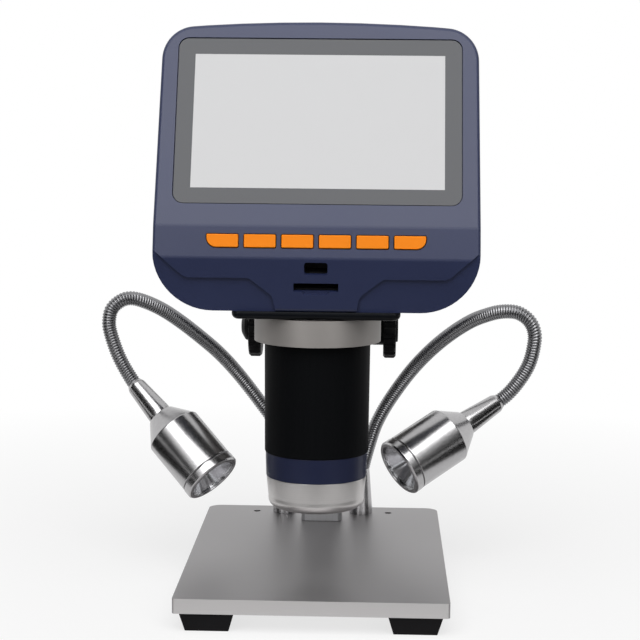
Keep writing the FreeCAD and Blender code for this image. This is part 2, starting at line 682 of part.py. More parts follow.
def make_head():
    """Two shells with the screen, boards, sockets, buttons, flange and screws."""
    crease = (mm("crease_y"), mm("crease_z"))
    ridge = (mm("ridge_y"), mm("ridge_z"))
    chin = (mm("chin_y"), mm("head_bottom"))
    tall = (mm(screen_y("crease_z + 60")), mm("crease_z + 60"))
    outer = head_outer("0")
    hollow = head_outer("head_wall")
    shell = cut(outer, hollow)
    doc.recompute()
    reach = 80
    front_half, back_half = (box("2 * head_half_low + 40", reach, "160", y=f"head_split + {side * reach / 2}",
                                 z="head_bottom - 20") for side in (-1, 1))

    glass_at = on_face(crease, tall, mm("glass_rise"), mm("-glass_sunk - glass_thick"))
    glass = slab("glass_width", "glass_height", "glass_thick", "glass_corner")
    glass.Placement = glass_at
    keep(glass, "display_glass")
    seat = slab("glass_width + 0.3", "glass_height + 0.3", "glass_thick + 3", "glass_corner + 0.15")
    seat.Placement = glass_at
    window = slab("panel_width - 2", "panel_height - 2", "20")
    window.Placement = glass_at.multiply(FreeCAD.Placement(FreeCAD.Vector(0, 0, -12), FreeCAD.Rotation()))
    panel = slab("panel_width", "panel_height", "panel_thick")
    deep = -mm("panel_thick") - (mm("head_wall") - mm("glass_thick") - mm("glass_sunk"))
    panel.Placement = glass_at.multiply(FreeCAD.Placement(FreeCAD.Vector(0, 0, deep), FreeCAD.Rotation()))
    keep(panel, "lcd_panel")
    board = slab("panel_width - 4", "panel_height - 6", "board_thick")
    deep -= mm("board_thick")
    board.Placement = glass_at.multiply(FreeCAD.Placement(FreeCAD.Vector(0, 0, deep), FreeCAD.Rotation()))
    keep(board, "main_board")

    tools = [seat, window]
    for number in range(6):
        offset = (number - 2.5) * mm("button_pitch")
        side = 0 if 0 < number < 5 else (-1 if number == 0 else 1)
        cap = button_solid("0", side)
        opening = button_solid("button_gap", side)
        where = FreeCAD.Placement(FreeCAD.Vector(offset, 0, 0), FreeCAD.Rotation()).multiply(
            on_face(ridge, crease, mm("button_rise"), mm("button_proud - button_depth")))
        cap.Placement = where
        opening.Placement = where
        tools.append(opening)
        keep(cap, f"button_{number + 1}")

    usb_at = on_face(chin, ridge, math.dist(chin, ridge) - mm("usb_drop"), mm("-usb_depth"))
    usb_hole = slab("usb_width", "usb_height", "usb_depth + 2", "1")
    usb_hole.Placement = usb_at
    card_at = on_face(chin, ridge, math.dist(chin, ridge) - mm("card_drop"), mm("-card_depth"))
    card_hole = slab("card_width", "card_height", "card_depth + 2")
    card_hole.Placement = card_at
    scoop = cylinder("scoop_radius", "3")
    doc.recompute()
    scoop.Placement = card_at.multiply(FreeCAD.Placement(
        FreeCAD.Vector(0, mm("card_height / 2 - scoop_radius"), mm("card_depth - 1")), FreeCAD.Rotation()))
    tools += [usb_hole, card_hole, scoop]
    usb = slab("usb_width + 1", "usb_height + 1", "usb_depth - head_wall - 0.6")
    usb_mouth = slab("usb_width - 0.6", "usb_height - 0.6", "usb_depth")
    usb_mouth.Placement = FreeCAD.Placement(UP, FreeCAD.Rotation())
    usb_socket = cut(usb, usb_mouth)
    usb_socket.Placement = usb_at
    keep(usb_socket, "usb_socket")
    card = slab("card_width + 1", "card_height + 1", "card_depth - head_wall - 0.6")
    card_mouth = slab("card_width - 0.4", "card_height - 1", "card_depth")
    card_mouth.Placement = FreeCAD.Placement(UP, FreeCAD.Rotation())
    card_socket = cut(card, card_mouth)
    card_socket.Placement = card_at
    keep(card_socket, "card_socket")

    for side in (-1, 1):
        plan = [(f"{side} * recess_in_top", "recess_top"), (f"{side} * (head_half_low + 5)", "recess_top"),
                (f"{side} * (head_half_low + 5)", "head_bottom - 1"),
                (f"{side} * recess_in_low", "head_bottom - 1"),
                (f"{side} * (recess_in_low + 1.5)", "head_bottom + 6"),
                (f"{side} * (recess_in_low + recess_in_top) / 2", "recess_top - 2.5")]
        plan = plan if side < 0 else list(reversed(plan))
        area = pad(plan, "80", plane="XZ_Plane", midplane=True)
        lean = "(chin_y - ridge_y) / (ridge_z - head_bottom)"
        low_y = "chin_y + recess_depth"
        high_y = f"chin_y + recess_depth - (recess_top + 2 - head_bottom) * {lean}"
        sheet_of = pad([(low_y, "head_bottom"), (high_y, "recess_top + 2"), (f"{high_y} - 6", "recess_top + 2"),
                        (f"{low_y} - 6", "head_bottom")], "200", plane="YZ_Plane", midplane=True)
        tools.append(common(area, sheet_of))

    posts = []
    drills = []
    screws = []
    spots = [(side, row) for row in ("low", "high") for side in (-1, 1)]
    for side, row in spots:
        x = side * mm(f"head_screw_{row}_half")
        z = mm(f"head_screw_{row}")
        lean = mm("(head_back_top - head_back) / (head_top - head_back_z)") * max(0, z - mm("head_back_z"))
        back = mm("head_back") + lean
        length = back - mm("head_split")
        posts.append(cylinder("head_screw_head + 1", length - 1, x=x, y="head_split", z=z, axis=ACROSS, angle=-90))
        drills.append(cylinder("head_screw_head + 0.2", 3, x=x, y=back - 2.2, z=z, axis=ACROSS, angle=-90))
        drills.append(cylinder("head_screw_radius + 0.05", length + 2, x=x, y="head_split - 1", z=z,
                               axis=ACROSS, angle=-90))
        driver = screw("head_screw_head", "head_screw_head_thick", "head_screw_radius", length - 1)
        place(driver, x=x, y=back - 0.4, z=z, axis=ACROSS, angle=90)
        screws.append(driver)
    keep(cut(common(shell, front_half), *tools), "head_front_shell")
    throat = cylinder("core_radius + 0.1", "head_wall + 4", z="head_bottom - 2")
    keep(cut(fuse(common(shell, back_half), common(fuse(*posts), outer)), throat, *drills), "head_rear_shell")
    keep(group(*screws), "head_screws")
    doc.recompute()
    front_shell = [s for s in subparts if s.Label == "head_front_shell"][0]
    trimmed = cut(front_shell, cylinder("core_radius + 0.1", "head_wall + 4", z="head_bottom - 2"))
    subparts.remove(front_shell)
    front_shell.Label = "front_shell_untrimmed"
    keep(trimmed, "head_front_shell")

    flange = slab("2 * flange_half", "2 * flange_depth", "flange_thick", "3")
    low_rim = lambda e: abs(e.BoundBox.ZMax) < 0.01
    rounded(flange, "flange_round", low_rim)
    place(flange, z="head_bottom - flange_thick")
    keep(cut(flange, cylinder("core_radius + seat_gap", "flange_thick + 2", z="head_bottom - flange_thick - 1")),
         "head_flange")
    sensor = fuse(cylinder("core_bore + 1.5", "1.6", z=top_of_barrel()),
                  box("9", "8", "1.2", z=f"{top_of_barrel()} - 1.2"))
    keep(sensor, "sensor_board")


def top_of_barrel():
    return "head_bottom"


def button_solid(grow, side):
    """Button cap, or with grow its opening; the end caps have one large rounded corner."""
    half = f"(button_width / 2 + {grow})"
    tall = f"(button_height / 2 + {grow})"
    depth = "button_depth" if grow == "0" else "button_depth + 3"
    body = pad([(f"-{half}", f"-{tall}"), (half, f"-{tall}"), (half, tall), (f"-{half}", tall)], depth)
    if side:
        rounded(body, f"button_round + {grow}",
                lambda e: upright(e) and e.Vertexes[0].X * side > 0 and e.Vertexes[0].Y < 0)
    rounded(body, f"0.5 + {grow}", lambda e: upright(e) and not (side and e.Vertexes[0].X * side > 0
                                                                 and e.Vertexes[0].Y < 0))
    return body


def rounded_route(points):
    """Straight runs joined by tangent arcs, as one wire; prints the least arc radius."""
    edges = []
    start = points[0]
    radii = []
    for before, corner, after in zip(points, points[1:], points[2:]):
        into = corner - before
        out = after - corner
        reach = 0.45 * min(into.Length, out.Length)
        half_turn = into.getAngle(out) / 2
        radii.append(reach / math.tan(half_turn))
        into.normalize()
        out.normalize()
        enter = corner - into * reach
        leave = corner + out * reach
        toward = (out - into).normalize()
        middle = corner + toward * (radii[-1] / math.cos(half_turn) - radii[-1])
        edges.append(Part.LineSegment(start, enter).toShape())
        edges.append(Part.Arc(enter, middle, leave).toShape())
        start = leave
    edges.append(Part.LineSegment(start, points[-1]).toShape())
    print(f"least arc radius {min(radii):.1f} mm over a route of {sum(e.Length for e in edges):.1f} mm")
    return Part.Wire(edges)


def tube(points):
    """Metal neck along a route, with its bore; checks its volume against section times length."""
    route = rounded_route(points)
    start = points[0]
    along = points[1] - points[0]
    solids = []
    for radius in (mm("neck_radius"), mm("neck_bore")):
        ring = Part.Wire(Part.makeCircle(radius, start, along))
        shell = Part.BRepOffsetAPI.MakePipeShell(route)
        shell.add(ring)
        shell.build()
        shell.makeSolid()
        solids.append(shell.shape())
    expected = math.pi * mm("neck_radius") ** 2 * route.Length
    if abs(solids[0].Volume - expected) > 0.01 * expected:
        raise RuntimeError(f"neck volume {solids[0].Volume:.1f}, expected {expected:.1f}")
    return solids[0].cut(solids[1])


def make_lamp(name, side):
    """Ferrule on the base, neck in two stretches, and the lamp head with its optics."""
    x = f"{side} * ferrule_spread"
    keep(turned([("neck_bore", "-plate_thick - 4"), ("stud_radius", "-plate_thick - 4"), ("stud_radius", "0"),
                 ("ferrule_radius", "0"), ("ferrule_radius", "2"), ("ferrule_tip", "ferrule_height"),
                 ("neck_bore", "ferrule_height")], x=x, y="ferrule_back"), f"neck_ferrule_{name}")

    aim = FreeCAD.Vector(*LAMP_AIM[name]).normalize()
    end = FreeCAD.Vector(*NECK_END[name])
    rising = [FreeCAD.Vector(*p) for p in NECK_UP[name]]
    falling = [FreeCAD.Vector(*p) for p in NECK_DOWN[name]]
    along = (falling[0] - rising[-1]).normalize()
    crown = (falling[0] + rising[-1]) / 2
    lift = FreeCAD.Vector(0, 0, mm("neck_joint_gap"))
    lower = tube([rising[0] + lift] + rising[1:] + [crown])
    upper = tube([crown] + falling + [end - aim * 9, end])
    print(f"{name} crown at {crown.x:.3f}, {crown.y:.3f}, {crown.z:.3f}")
    ball = Part.makeSphere(mm("neck_radius"), crown)
    socket = Part.makeSphere(mm("neck_radius + neck_joint_gap"), crown)
    through = Part.makeCylinder(mm("neck_bore"), 20, crown - along * 10, along)
    keep(feature(lower.cut(socket)), f"neck_lower_{name}")
    keep(feature(upper.fuse(ball.cut(through)).removeSplitter()), f"neck_upper_{name}")

    turn = FreeCAD.Rotation(UP, aim)
    at_end = FreeCAD.Placement(end, turn)
    front = "lamp_ferrule_length + lamp_cone + lamp_barrel"
    bezel_end = f"{front} + bezel_length"
    lens_top = f"{bezel_end} - lamp_lens_sunk"
    lens_low = f"{lens_top} - lamp_lens_thick"
    reflector_low = f"{lens_low} - reflector_depth"
    board_low = f"{front} + bezel_length - lamp_lens_thick - reflector_depth - 2"
    inner = "lamp_radius - lamp_wall"
    pieces = {
        "lamp_ferrule": [("neck_bore", "0"), ("neck_radius + 0.3", "0"), ("neck_radius + 0.9", "1.5"),
                         ("lamp_ferrule_radius", "lamp_ferrule_length - 2"),
                         ("lamp_ferrule_radius", "lamp_ferrule_length"), ("neck_bore", "lamp_ferrule_length")],
        "lamp_housing": [("neck_bore", "lamp_ferrule_length"), ("lamp_ferrule_radius + 0.8", "lamp_ferrule_length"),
                         ("lamp_radius", "lamp_ferrule_length + lamp_cone"), ("lamp_radius", front),
                         (inner, front), (inner, board_low), ("neck_bore", board_low)],
        "lamp_bezel": [("lamp_radius - 0.5", front), ("lamp_radius - 0.5", f"{front} + bezel_groove"),
                       ("lamp_radius + 0.2", f"{front} + bezel_groove"),
                       ("lamp_radius + 0.2", f"{bezel_end} - bezel_edge"),
                       ("lamp_radius - bezel_edge + 0.2", bezel_end), ("lamp_radius - bezel_lip", bezel_end),
                       ("lamp_radius - bezel_lip", lens_top), (inner, lens_top), (inner, front)],
        "lamp_lens": [("0", lens_low), (f"{inner} - seat_gap", lens_low),
                      (f"{inner} - seat_gap", lens_top), ("0", lens_top)],
        "lamp_reflector": [("led_radius + 0.2", reflector_low),
                           (f"{inner} - 2 * seat_gap", reflector_low),
                           (f"{inner} - 2 * seat_gap", lens_low), (f"{inner} - 1", lens_low)],
    }
    for piece, corners in pieces.items():
        solid = turned(corners)
        solid.Placement = at_end
        keep(solid, f"{piece}_{name}")
    led = fuse(cylinder(f"{inner} - 2 * seat_gap", f"{reflector_low} - ({board_low})", z=board_low),
               cylinder("led_radius", "1.4", z=reflector_low))
    led.Placement = at_end
    keep(led, f"lamp_board_{name}")


def make_nuts():
    """Hexagon nuts under the base plate that hold the two neck ferrules."""
    nuts = []
    for side in (-1, 1):
        prism = doc.addObject("Part::Prism", "Nut")
        prism.Polygon = 6
        bind(prism, Circumradius="nut_radius", Height="nut_thick")
        bore = cylinder("stud_radius + seat_gap", "nut_thick + 2", z=-1)
        nuts.append(place(cut(prism, bore), x=f"{side} * ferrule_spread", y="ferrule_back",
                          z="-plate_thick - nut_thick"))
    keep(group(*nuts), "ferrule_nuts")


def write_parts():
    """Check every object, then write each sub-part to its own file."""
    doc.recompute()
    for thing in doc.Objects:
        if "Invalid" in thing.State or "Error" in thing.State:
            raise RuntimeError(f"{thing.Name} {thing.Label} is {thing.State}")
    for piece in subparts:
        if piece.Shape.isNull() or not piece.Shape.isValid():
            raise RuntimeError(f"{piece.Label} has no valid shape")
    os.makedirs("parts", exist_ok=True)
    for piece in subparts:
        piece.Shape.exportStep(f"parts/{piece.Label}.step")
        print(f"{piece.Label}: {len(piece.Shape.Solids)} solids, {piece.Shape.Volume:.1f} mm3")


make_base()
make_column()
make_carriage()
make_ring()
make_barrel()
make_head()
make_nuts()
make_lamp("left", -1)
make_lamp("right", 1)
write_parts()
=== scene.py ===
import math

import bmesh
import bpy
from mathutils import Matrix, Vector


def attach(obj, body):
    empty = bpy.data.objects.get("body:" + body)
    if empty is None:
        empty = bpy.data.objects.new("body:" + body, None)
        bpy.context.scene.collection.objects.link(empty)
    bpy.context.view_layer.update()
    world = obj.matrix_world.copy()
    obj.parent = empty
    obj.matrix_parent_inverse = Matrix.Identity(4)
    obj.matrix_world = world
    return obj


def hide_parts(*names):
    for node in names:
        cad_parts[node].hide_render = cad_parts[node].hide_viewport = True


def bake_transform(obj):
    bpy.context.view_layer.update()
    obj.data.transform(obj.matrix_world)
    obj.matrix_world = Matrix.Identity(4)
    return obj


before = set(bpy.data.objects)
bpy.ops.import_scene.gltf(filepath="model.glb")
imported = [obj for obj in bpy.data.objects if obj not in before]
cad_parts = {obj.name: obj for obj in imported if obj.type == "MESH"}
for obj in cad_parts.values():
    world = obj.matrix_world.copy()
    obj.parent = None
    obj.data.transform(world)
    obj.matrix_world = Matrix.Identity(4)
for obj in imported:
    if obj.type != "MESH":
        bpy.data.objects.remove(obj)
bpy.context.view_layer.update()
MM = 0.001

# The view: a long lens on a tripod, a little above the screen and a hand's width to the right
# of the middle, looking slightly down. Fitted to the edges of the plate and of the screen.
LENS_FOCAL = 98.44
CAMERA_AT = Vector((21.9153, -672.2737, 182.196)) * MM
CAMERA_YAW = 0.0313
CAMERA_PITCH = 0.1248
CAMERA_ROLL = 0.0097

ahead = Vector((-math.sin(CAMERA_YAW) * math.cos(CAMERA_PITCH),
                math.cos(CAMERA_YAW) * math.cos(CAMERA_PITCH), -math.sin(CAMERA_PITCH)))
level = Vector((math.cos(CAMERA_YAW), math.sin(CAMERA_YAW), 0))
upward = level.cross(ahead)
right = math.cos(CAMERA_ROLL) * level + math.sin(CAMERA_ROLL) * upward
upward = -math.sin(CAMERA_ROLL) * level + math.cos(CAMERA_ROLL) * upward
camera = bpy.data.objects.new("camera", bpy.data.cameras.new("camera"))
camera.data.lens = LENS_FOCAL
camera.data.sensor_width = 36
camera.data.clip_start = 0.01
camera_turn = Matrix((right, upward, -ahead)).transposed().to_4x4()
camera.matrix_world = Matrix.Translation(CAMERA_AT) @ camera_turn
bpy.context.scene.collection.objects.link(camera)
bpy.context.scene.camera = camera
bpy.context.scene.view_settings.view_transform = "Standard"


# The studio: a white table in a white room, a big soft box overhead and a tall one to each side
# of the camera. Black cards to the left and right, round the lens and on the table put the dark
# stripes into the turned metal. Sizes and places here are in metres, and powers in watts.
FLOOR_BELOW = 13.0 * MM
FLOOR_HALF = 3.0
FLOOR_BOUNCE = 0.12
SHADOW_REACH = (0.1, 0.45)
SHADOW_LIFT = 0.72
ROOM_LIGHT = 0.22
SOFT_BOXES = {
    "overhead": ((0.0, -0.66, 0.92), (0, 0, 0.1), 1.2, 0.8, 9.0),
    "left_box": ((-0.50, -0.95, 0.45), (0, 0, 0.08), 0.3, 0.9, 1.9),
    "right_box": ((0.55, -0.95, 0.45), (0, 0, 0.08), 0.3, 0.9, 1.6),
}


def quad(name, width, height, at, toward):
    """A flat rectangle that faces a point."""
    half_w, half_h = width / 2, height / 2
    mesh = bpy.data.meshes.new(name)
    corners = [(-half_w, -half_h, 0), (half_w, -half_h, 0), (half_w, half_h, 0), (-half_w, half_h, 0)]
    mesh.from_pydata(corners, [], [(0, 1, 2, 3)])
    sheet = bpy.data.objects.new(name, mesh)
    away = Vector(toward) - Vector(at)
    sheet.matrix_world = Matrix.Translation(at) @ away.to_track_quat("Z", "Y").to_matrix().to_4x4()
    bpy.context.scene.collection.objects.link(sheet)
    return sheet


class Wire:
    """A shader socket in an expression; each operator adds the Math node that it needs."""

    def __init__(self, finish, socket):
        self.finish = finish
        self.socket = socket

    def maths(self, operation, *terms):
        return self.finish.add("Math", {"operation": operation}, dict(enumerate(terms)))

    def __add__(self, other):
        return self.maths("ADD", self, other)

    def __sub__(self, other):
        return self.maths("SUBTRACT", self, other)

    def __rsub__(self, other):
        return self.maths("SUBTRACT", other, self)

    def __mul__(self, other):
        return self.maths("MULTIPLY", self, other)

    def __truediv__(self, other):
        return self.maths("DIVIDE", self, other)

    def __lt__(self, other):
        return self.maths("LESS_THAN", self, other)

    def __abs__(self):
        return self.maths("ABSOLUTE", self)

    __radd__ = __add__
    __rmul__ = __mul__


class Recipe:
    """A tree of shader nodes, of a material or of the room."""

    def __init__(self, tree):
        self.tree = tree

    def join(self, socket, value):
        if isinstance(value, Wire):
            self.tree.links.new(value.socket, socket)
        else:
            socket.default_value = value

    def add(self, kind, settings=None, inputs=None, out=0):
        """A node of any kind: its settings first, then the values or wires of its sockets."""
        node = self.tree.nodes.new("ShaderNode" + kind)
        for name, value in (settings or {}).items():
            if name == "stops":
                ramp = node.color_ramp.elements
                while len(ramp) < len(value):
                    ramp.new(0.5)
                for stop, (position, colour) in zip(ramp, value):
                    stop.position = position
                    stop.color = colour
            else:
                setattr(node, name, value)
        for key, value in (inputs or {}).items():
            self.join(node.inputs[key], value)
        return Wire(self, node.outputs[out])

    def looked_at(self):
        """1 where the lens, a reflection or a clear part looks at the surface, and 0 for lighting."""
        kinds = ("Camera", "Glossy", "Transmission")
        rays = [self.add("LightPath", out=f"Is {kind} Ray") for kind in kinds]
        either = self.add("Math", {"operation": "MAXIMUM"}, {0: rays[0], 1: rays[1]})
        return self.add("Math", {"operation": "MAXIMUM"}, {0: either, 1: rays[2]})


class Finish(Recipe):
    """A material: its Principled shader and the nodes that drive it."""

    def __init__(self, name, **plain):
        self.material = bpy.data.materials.new(name)
        self.material.use_nodes = True
        super().__init__(self.material.node_tree)
        self.shader = self.tree.nodes["Principled BSDF"]
        self.set(**plain)

    def set(self, **sockets):
        """Give the shader's sockets values or wires; an underscore stands for a space."""
        for name, value in sockets.items():
            self.join(self.shader.inputs[name.replace("_", " ")], value)

    def where(self):
        """The point on the object, in metres."""
        return self.add("TexCoord", out="Object")

    def axes(self, point=None):
        """The three coordinates of a point as wires."""
        node = self.add("SeparateXYZ", inputs={0: point or self.where()}).socket.node
        return [Wire(self, socket) for socket in node.outputs]

    def stretched(self, x, y, z):
        """The point with its axes scaled, so that a noise on it runs in streaks."""
        return self.add("VectorMath", {"operation": "MULTIPLY"}, {0: self.where(), 1: (x, y, z)})

    def noise(self, scale, detail=3.0, point=None):
        """Noise from 0 to 1; scale is in features per metre."""
        place = point or self.where()
        return self.add("TexNoise", inputs={"Vector": place, "Scale": scale, "Detail": detail})

    def mix(self, share, low, high):
        """A colour between two."""
        node = self.add("Mix", {"data_type": "RGBA"}, {0: share, 6: low, 7: high})
        return Wire(self, node.socket.node.outputs[2])

    def bump(self, height, depth, strength=1.0):
        """Turn a height from 0 to 1 into dents that many metres deep."""
        dents = {"Height": height, "Distance": depth, "Strength": strength}
        self.set(Normal=self.add("Bump", inputs=dents))


def srgb(red, green, blue):
    """A colour as it looks on screen, from 0 to 255, as the shader's own values."""
    def linear(value):
        share = value / 255
        return share / 12.92 if share <= 0.04045 else ((share + 0.055) / 1.055) ** 2.4
    return (linear(red), linear(green), linear(blue), 1.0)


def paper():
    """White to the lens and in reflections, with a light shadow near the object; dark to the
    lighting, so that it throws little light up at the object."""
    white = Finish("white_table", Roughness=0.9, Specular_IOR_Level=0.1)
    seen = white.looked_at()
    white.set(Base_Color=white.mix(seen, (FLOOR_BOUNCE, FLOOR_BOUNCE, FLOOR_BOUNCE, 1), (1, 1, 1, 1)))
    distance = white.add("VectorMath", {"operation": "LENGTH"}, {0: white.where()}, out="Value")
    near_to_far = {"Value": distance, "From Min": SHADOW_REACH[0], "From Max": SHADOW_REACH[1],
                   "To Min": SHADOW_LIFT, "To Max": 1.0}
    far = white.add("MapRange", inputs=near_to_far)
    glow = white.add("Emission", inputs={"Color": (1, 1, 1, 1), "Strength": 1.0})
    table = Wire(white, white.shader.outputs[0])
    both = white.add("MixShader", inputs={0: far * seen, 1: table, 2: glow})
    white.tree.links.new(both.socket, white.tree.nodes["Material Output"].inputs[0])
    return white.material


floor = quad("floor", 2 * FLOOR_HALF, 2 * FLOOR_HALF, (0, 0, -FLOOR_BELOW), (0, 0, 1))
floor.data.materials.append(paper())

world = bpy.data.worlds.new("room")
bpy.context.scene.world = world
world.use_nodes = True
air = Recipe(world.node_tree)
backdrop = world.node_tree.nodes["Background"]
air.join(backdrop.inputs["Color"], (1, 1, 1, 1))
air.join(backdrop.inputs["Strength"], air.looked_at() * (1 - ROOM_LIGHT) + ROOM_LIGHT)

for name, (at, toward, width, height, power) in SOFT_BOXES.items():
    lamp = bpy.data.lights.new(name, "AREA")
    lamp.shape = "RECTANGLE"
    lamp.size = width
    lamp.size_y = height
    lamp.energy = power
    holder = bpy.data.objects.new(name, lamp)
    aim = (Vector(toward) - Vector(at)).to_track_quat("-Z", "Y")
    holder.matrix_world = Matrix.Translation(at) @ aim.to_matrix().to_4x4()
    bpy.context.scene.collection.objects.link(holder)

# The cards are seen in reflections only: not by the camera, and not by the lighting.
CARD_BLACK = (0.01, 0.01, 0.01, 1)
CARD_LOW = 1.0 * MM - FLOOR_BELOW
black_card = Finish("black_card", Base_Color=CARD_BLACK, Roughness=0.9, Specular_IOR_Level=0.0)
CARDS = {
    "card_left": ((-0.62, -0.22, 0.22), (0, 0, 0.1), 0.55, 0.9),
    "card_right": ((0.62, -0.22, 0.22), (0, 0, 0.1), 0.55, 0.9),
    "card_lens": ((0.02, -0.75, 0.22), (0, 0, 0.06), 0.12, 0.16),
    "card_table": ((0.0, -0.42, CARD_LOW), (0, -0.42, 1), 0.80, 0.58),
    "card_table_left": ((-0.26, -0.03, CARD_LOW), (-0.26, -0.03, 1), 0.24, 0.2),
    "card_table_right": ((0.26, -0.03, CARD_LOW), (0.26, -0.03, 1), 0.24, 0.2),
}
for name, (at, toward, width, height) in CARDS.items():
    card = quad(name, width, height, at, toward)
    card.data.materials.append(black_card.material)
    card.visible_camera = False
    card.visible_diffuse = False
    card.visible_shadow = False


# The base plate: aluminium, sawn from plate, bead blasted and clear anodised, with two small
# tapped holes near its back corners. Its edges are broken by half a millimetre. Its front face is
# coloured lighter than its top, a painted highlight.
PLATE_EDGE = 0.5 * MM
PLATE_FRONT = -49.0 * MM
SMOOTH_BELOW = math.radians(32)
FLAT_BELOW = math.radians(0.6)
WELD = 0.001 * MM


def dress(thing, finish):
    """Give a piece its material."""
    thing.data.materials.clear()
    thing.data.materials.append(finish.material)
    return thing


def seat(name, mesh, finish, body, slot, *nodes, smooth=SMOOTH_BELOW):
    """Make a piece of a mesh, smooth its faces, and let it ride in place of its CAD nodes."""
    if isinstance(mesh, bmesh.types.BMesh):
        data = bpy.data.meshes.new(name)
        mesh.normal_update()
        mesh.to_mesh(data)
        mesh.free()
    else:
        data = mesh
    data.polygons.foreach_set("use_smooth", [True] * len(data.polygons))
    data.set_sharp_from_angle(angle=smooth)
    thing = bpy.data.objects.new(name, data)
    bpy.context.scene.collection.objects.link(thing)
    dress(thing, finish)
    if body:
        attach(thing, body)
        flats = thing.modifiers.new("even_flats", "WEIGHTED_NORMAL")
        flats.keep_sharp = True
    if nodes:
        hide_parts(*nodes)
    return thing


def eased(node, width, sides=2, over=40):
    """The CAD node's own form, with its edges that turn over so many degrees rounded."""
    mesh = bmesh.new()
    mesh.from_mesh(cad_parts[node].data)
    bmesh.ops.remove_doubles(mesh, verts=mesh.verts, dist=WELD)
    bmesh.ops.dissolve_limit(mesh, angle_limit=FLAT_BELOW, verts=mesh.verts, edges=mesh.edges)
    hard = [edge for edge in mesh.edges
            if len(edge.link_faces) == 2 and edge.calc_face_angle() > math.radians(over)]
    bmesh.ops.bevel(mesh, geom=hard, offset=width, segments=sides, profile=0.5, affect="EDGES",
                    clamp_overlap=True)
    return mesh


def plate_finish():
    """Bead-blasted aluminium: a fine even grain, slow cloudy changes of sheen, and a painted
    highlight that makes the front face lighter than the top.
    """
    metal = Finish("blasted_aluminium", Metallic=1.0)
    cloud = metal.noise(22, 2)
    grain = metal.noise(2600, 2)
    top = metal.mix(cloud, srgb(142, 140, 141), srgb(156, 154, 155))
    # Painted highlight: the front face is coloured lighter than the top, for the light it catches.
    painted_front_highlight = metal.axes()[1] < PLATE_FRONT
    metal.set(Base_Color=metal.mix(painted_front_highlight, top, srgb(186, 184, 184)))
    metal.set(Roughness=0.38 + cloud * 0.08 + grain * 0.04)
    metal.bump(grain, 0.00003, 0.5)
    return metal


blasted = plate_finish()
seat("stage_plate", eased("base_plate", PLATE_EDGE), blasted, "stand", "stage_aluminium",
     "base_plate")


# Four feet of black rubber, moulded as blunt wedges that taper to the sole, each held to the
# plate by a screw from below.
FOOT_EDGE = 0.7 * MM


def rubber_finish(name, colour, rough):
    """Matt rubber or plastic with a fine skin of its mould and paler dusty patches."""
    skin = Finish(name, Roughness=rough, Specular_IOR_Level=0.12)
    dust = skin.noise(90, 4)
    pores = skin.noise(1800, 2)
    dusty = tuple(min(1.0, 1.5 * c + 0.002) for c in colour[:3]) + (1,)
    skin.set(Base_Color=skin.mix(dust, colour, dusty))
    skin.bump(pores, 0.00005, 0.6)
    return skin


foot_rubber = rubber_finish("foot_rubber", srgb(13, 12, 14), 0.6)
for spot in ("front_left", "front_right", "rear_left", "rear_right"):
    seat(f"rubber_foot_{spot}", eased(f"foot_{spot}", FOOT_EDGE), foot_rubber, "stand", "rubber",
         f"foot_{spot}")


# The screws and nuts that hold the pieces together: zinc-plated steel with fine drawn streaks.
# They keep the solids' own forms.
def steel_finish(name, colour, rough, streak=(900, 900, 60)):
    """Turned or drawn steel with streaks along one way."""
    metal = Finish(name, Metallic=1.0)
    lines = metal.noise(1.0, 3, metal.stretched(*streak))
    darker = tuple(0.82 * c for c in colour[:3]) + (1,)
    metal.set(Base_Color=metal.mix(lines, colour, darker))
    metal.set(Roughness=rough + lines * 0.1)
    metal.bump(lines, 0.00001, 0.5)
    return metal


zinc_steel = steel_finish("zinc_steel", srgb(190, 190, 194), 0.28)
for node in ("foot_screws", "column_screws", "ferrule_nuts", "bracket_screws", "clamp_screw",
             "head_screws"):
    dress(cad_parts[node], zinc_steel)


# The column: a drawn aluminium bar with broken corners, satin anodised, with a steel rack let
# into its front and a black plastic cap pressed on its top.
anodised = steel_finish("satin_anodised", srgb(176, 176, 178), 0.34, (1400, 1400, 25))
black_plastic = rubber_finish("black_plastic", srgb(10, 10, 12), 0.42)
seat("column_bar", eased("column", 0.25 * MM, over=60), anodised, "stand", "column_aluminium",
     "column")
seat("column_top_cap", eased("column_cap", 0.5 * MM), black_plastic, "stand", "black_plastic",
     "column_cap")
dress(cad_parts["rack"], zinc_steel)


# The carriage: a milled block that slides on the column and holds the pinion in a bush, with a
# ring on an arm screwed to its front; both are silver painted castings.
def cast_finish():
    """Silver paint with fine metal flake over a slightly uneven casting."""
    paint = Finish("silver_paint", Metallic=0.55)
    flake = paint.noise(4200, 2)
    cloud = paint.noise(60, 3)
    paint.set(Base_Color=paint.mix(cloud, srgb(144, 140, 137), srgb(158, 154, 151)))
    paint.set(Roughness=0.42 + flake * 0.1)
    paint.bump(flake * 0.4 + cloud, 0.00004, 0.6)
    return paint


silver_paint = cast_finish()
seat("carriage_block", eased("carriage", 0.4 * MM, over=60), silver_paint, "carriage",
     "ring_silver", "carriage")
seat("holder_ring", eased("ring_holder", 0.5 * MM, over=60), silver_paint, "carriage",
     "ring_silver", "ring_holder")
dress(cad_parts["pinion_bush"], zinc_steel)
dress(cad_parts["pinion_shaft"], zinc_steel)


# Two focusing knobs of black plastic, moulded with flutes for the fingers and pressed on the ends
# of the pinion shaft; the left one has a domed cap.
KNOB_EDGE = 0.25 * MM
DOME_EDGE = 0.9 * MM

seat("focus_wheel_left", eased("focus_knob_left", KNOB_EDGE, over=50), black_plastic, "pinion",
     "black_plastic", "focus_knob_left")
seat("focus_wheel_right", eased("focus_knob_right", KNOB_EDGE, over=50), black_plastic, "pinion",
     "black_plastic", "focus_knob_right")
seat("wheel_cap_left", eased("shaft_cap_left", DOME_EDGE, 3, over=15), black_plastic, "pinion",
     "black_plastic", "shaft_cap_left")


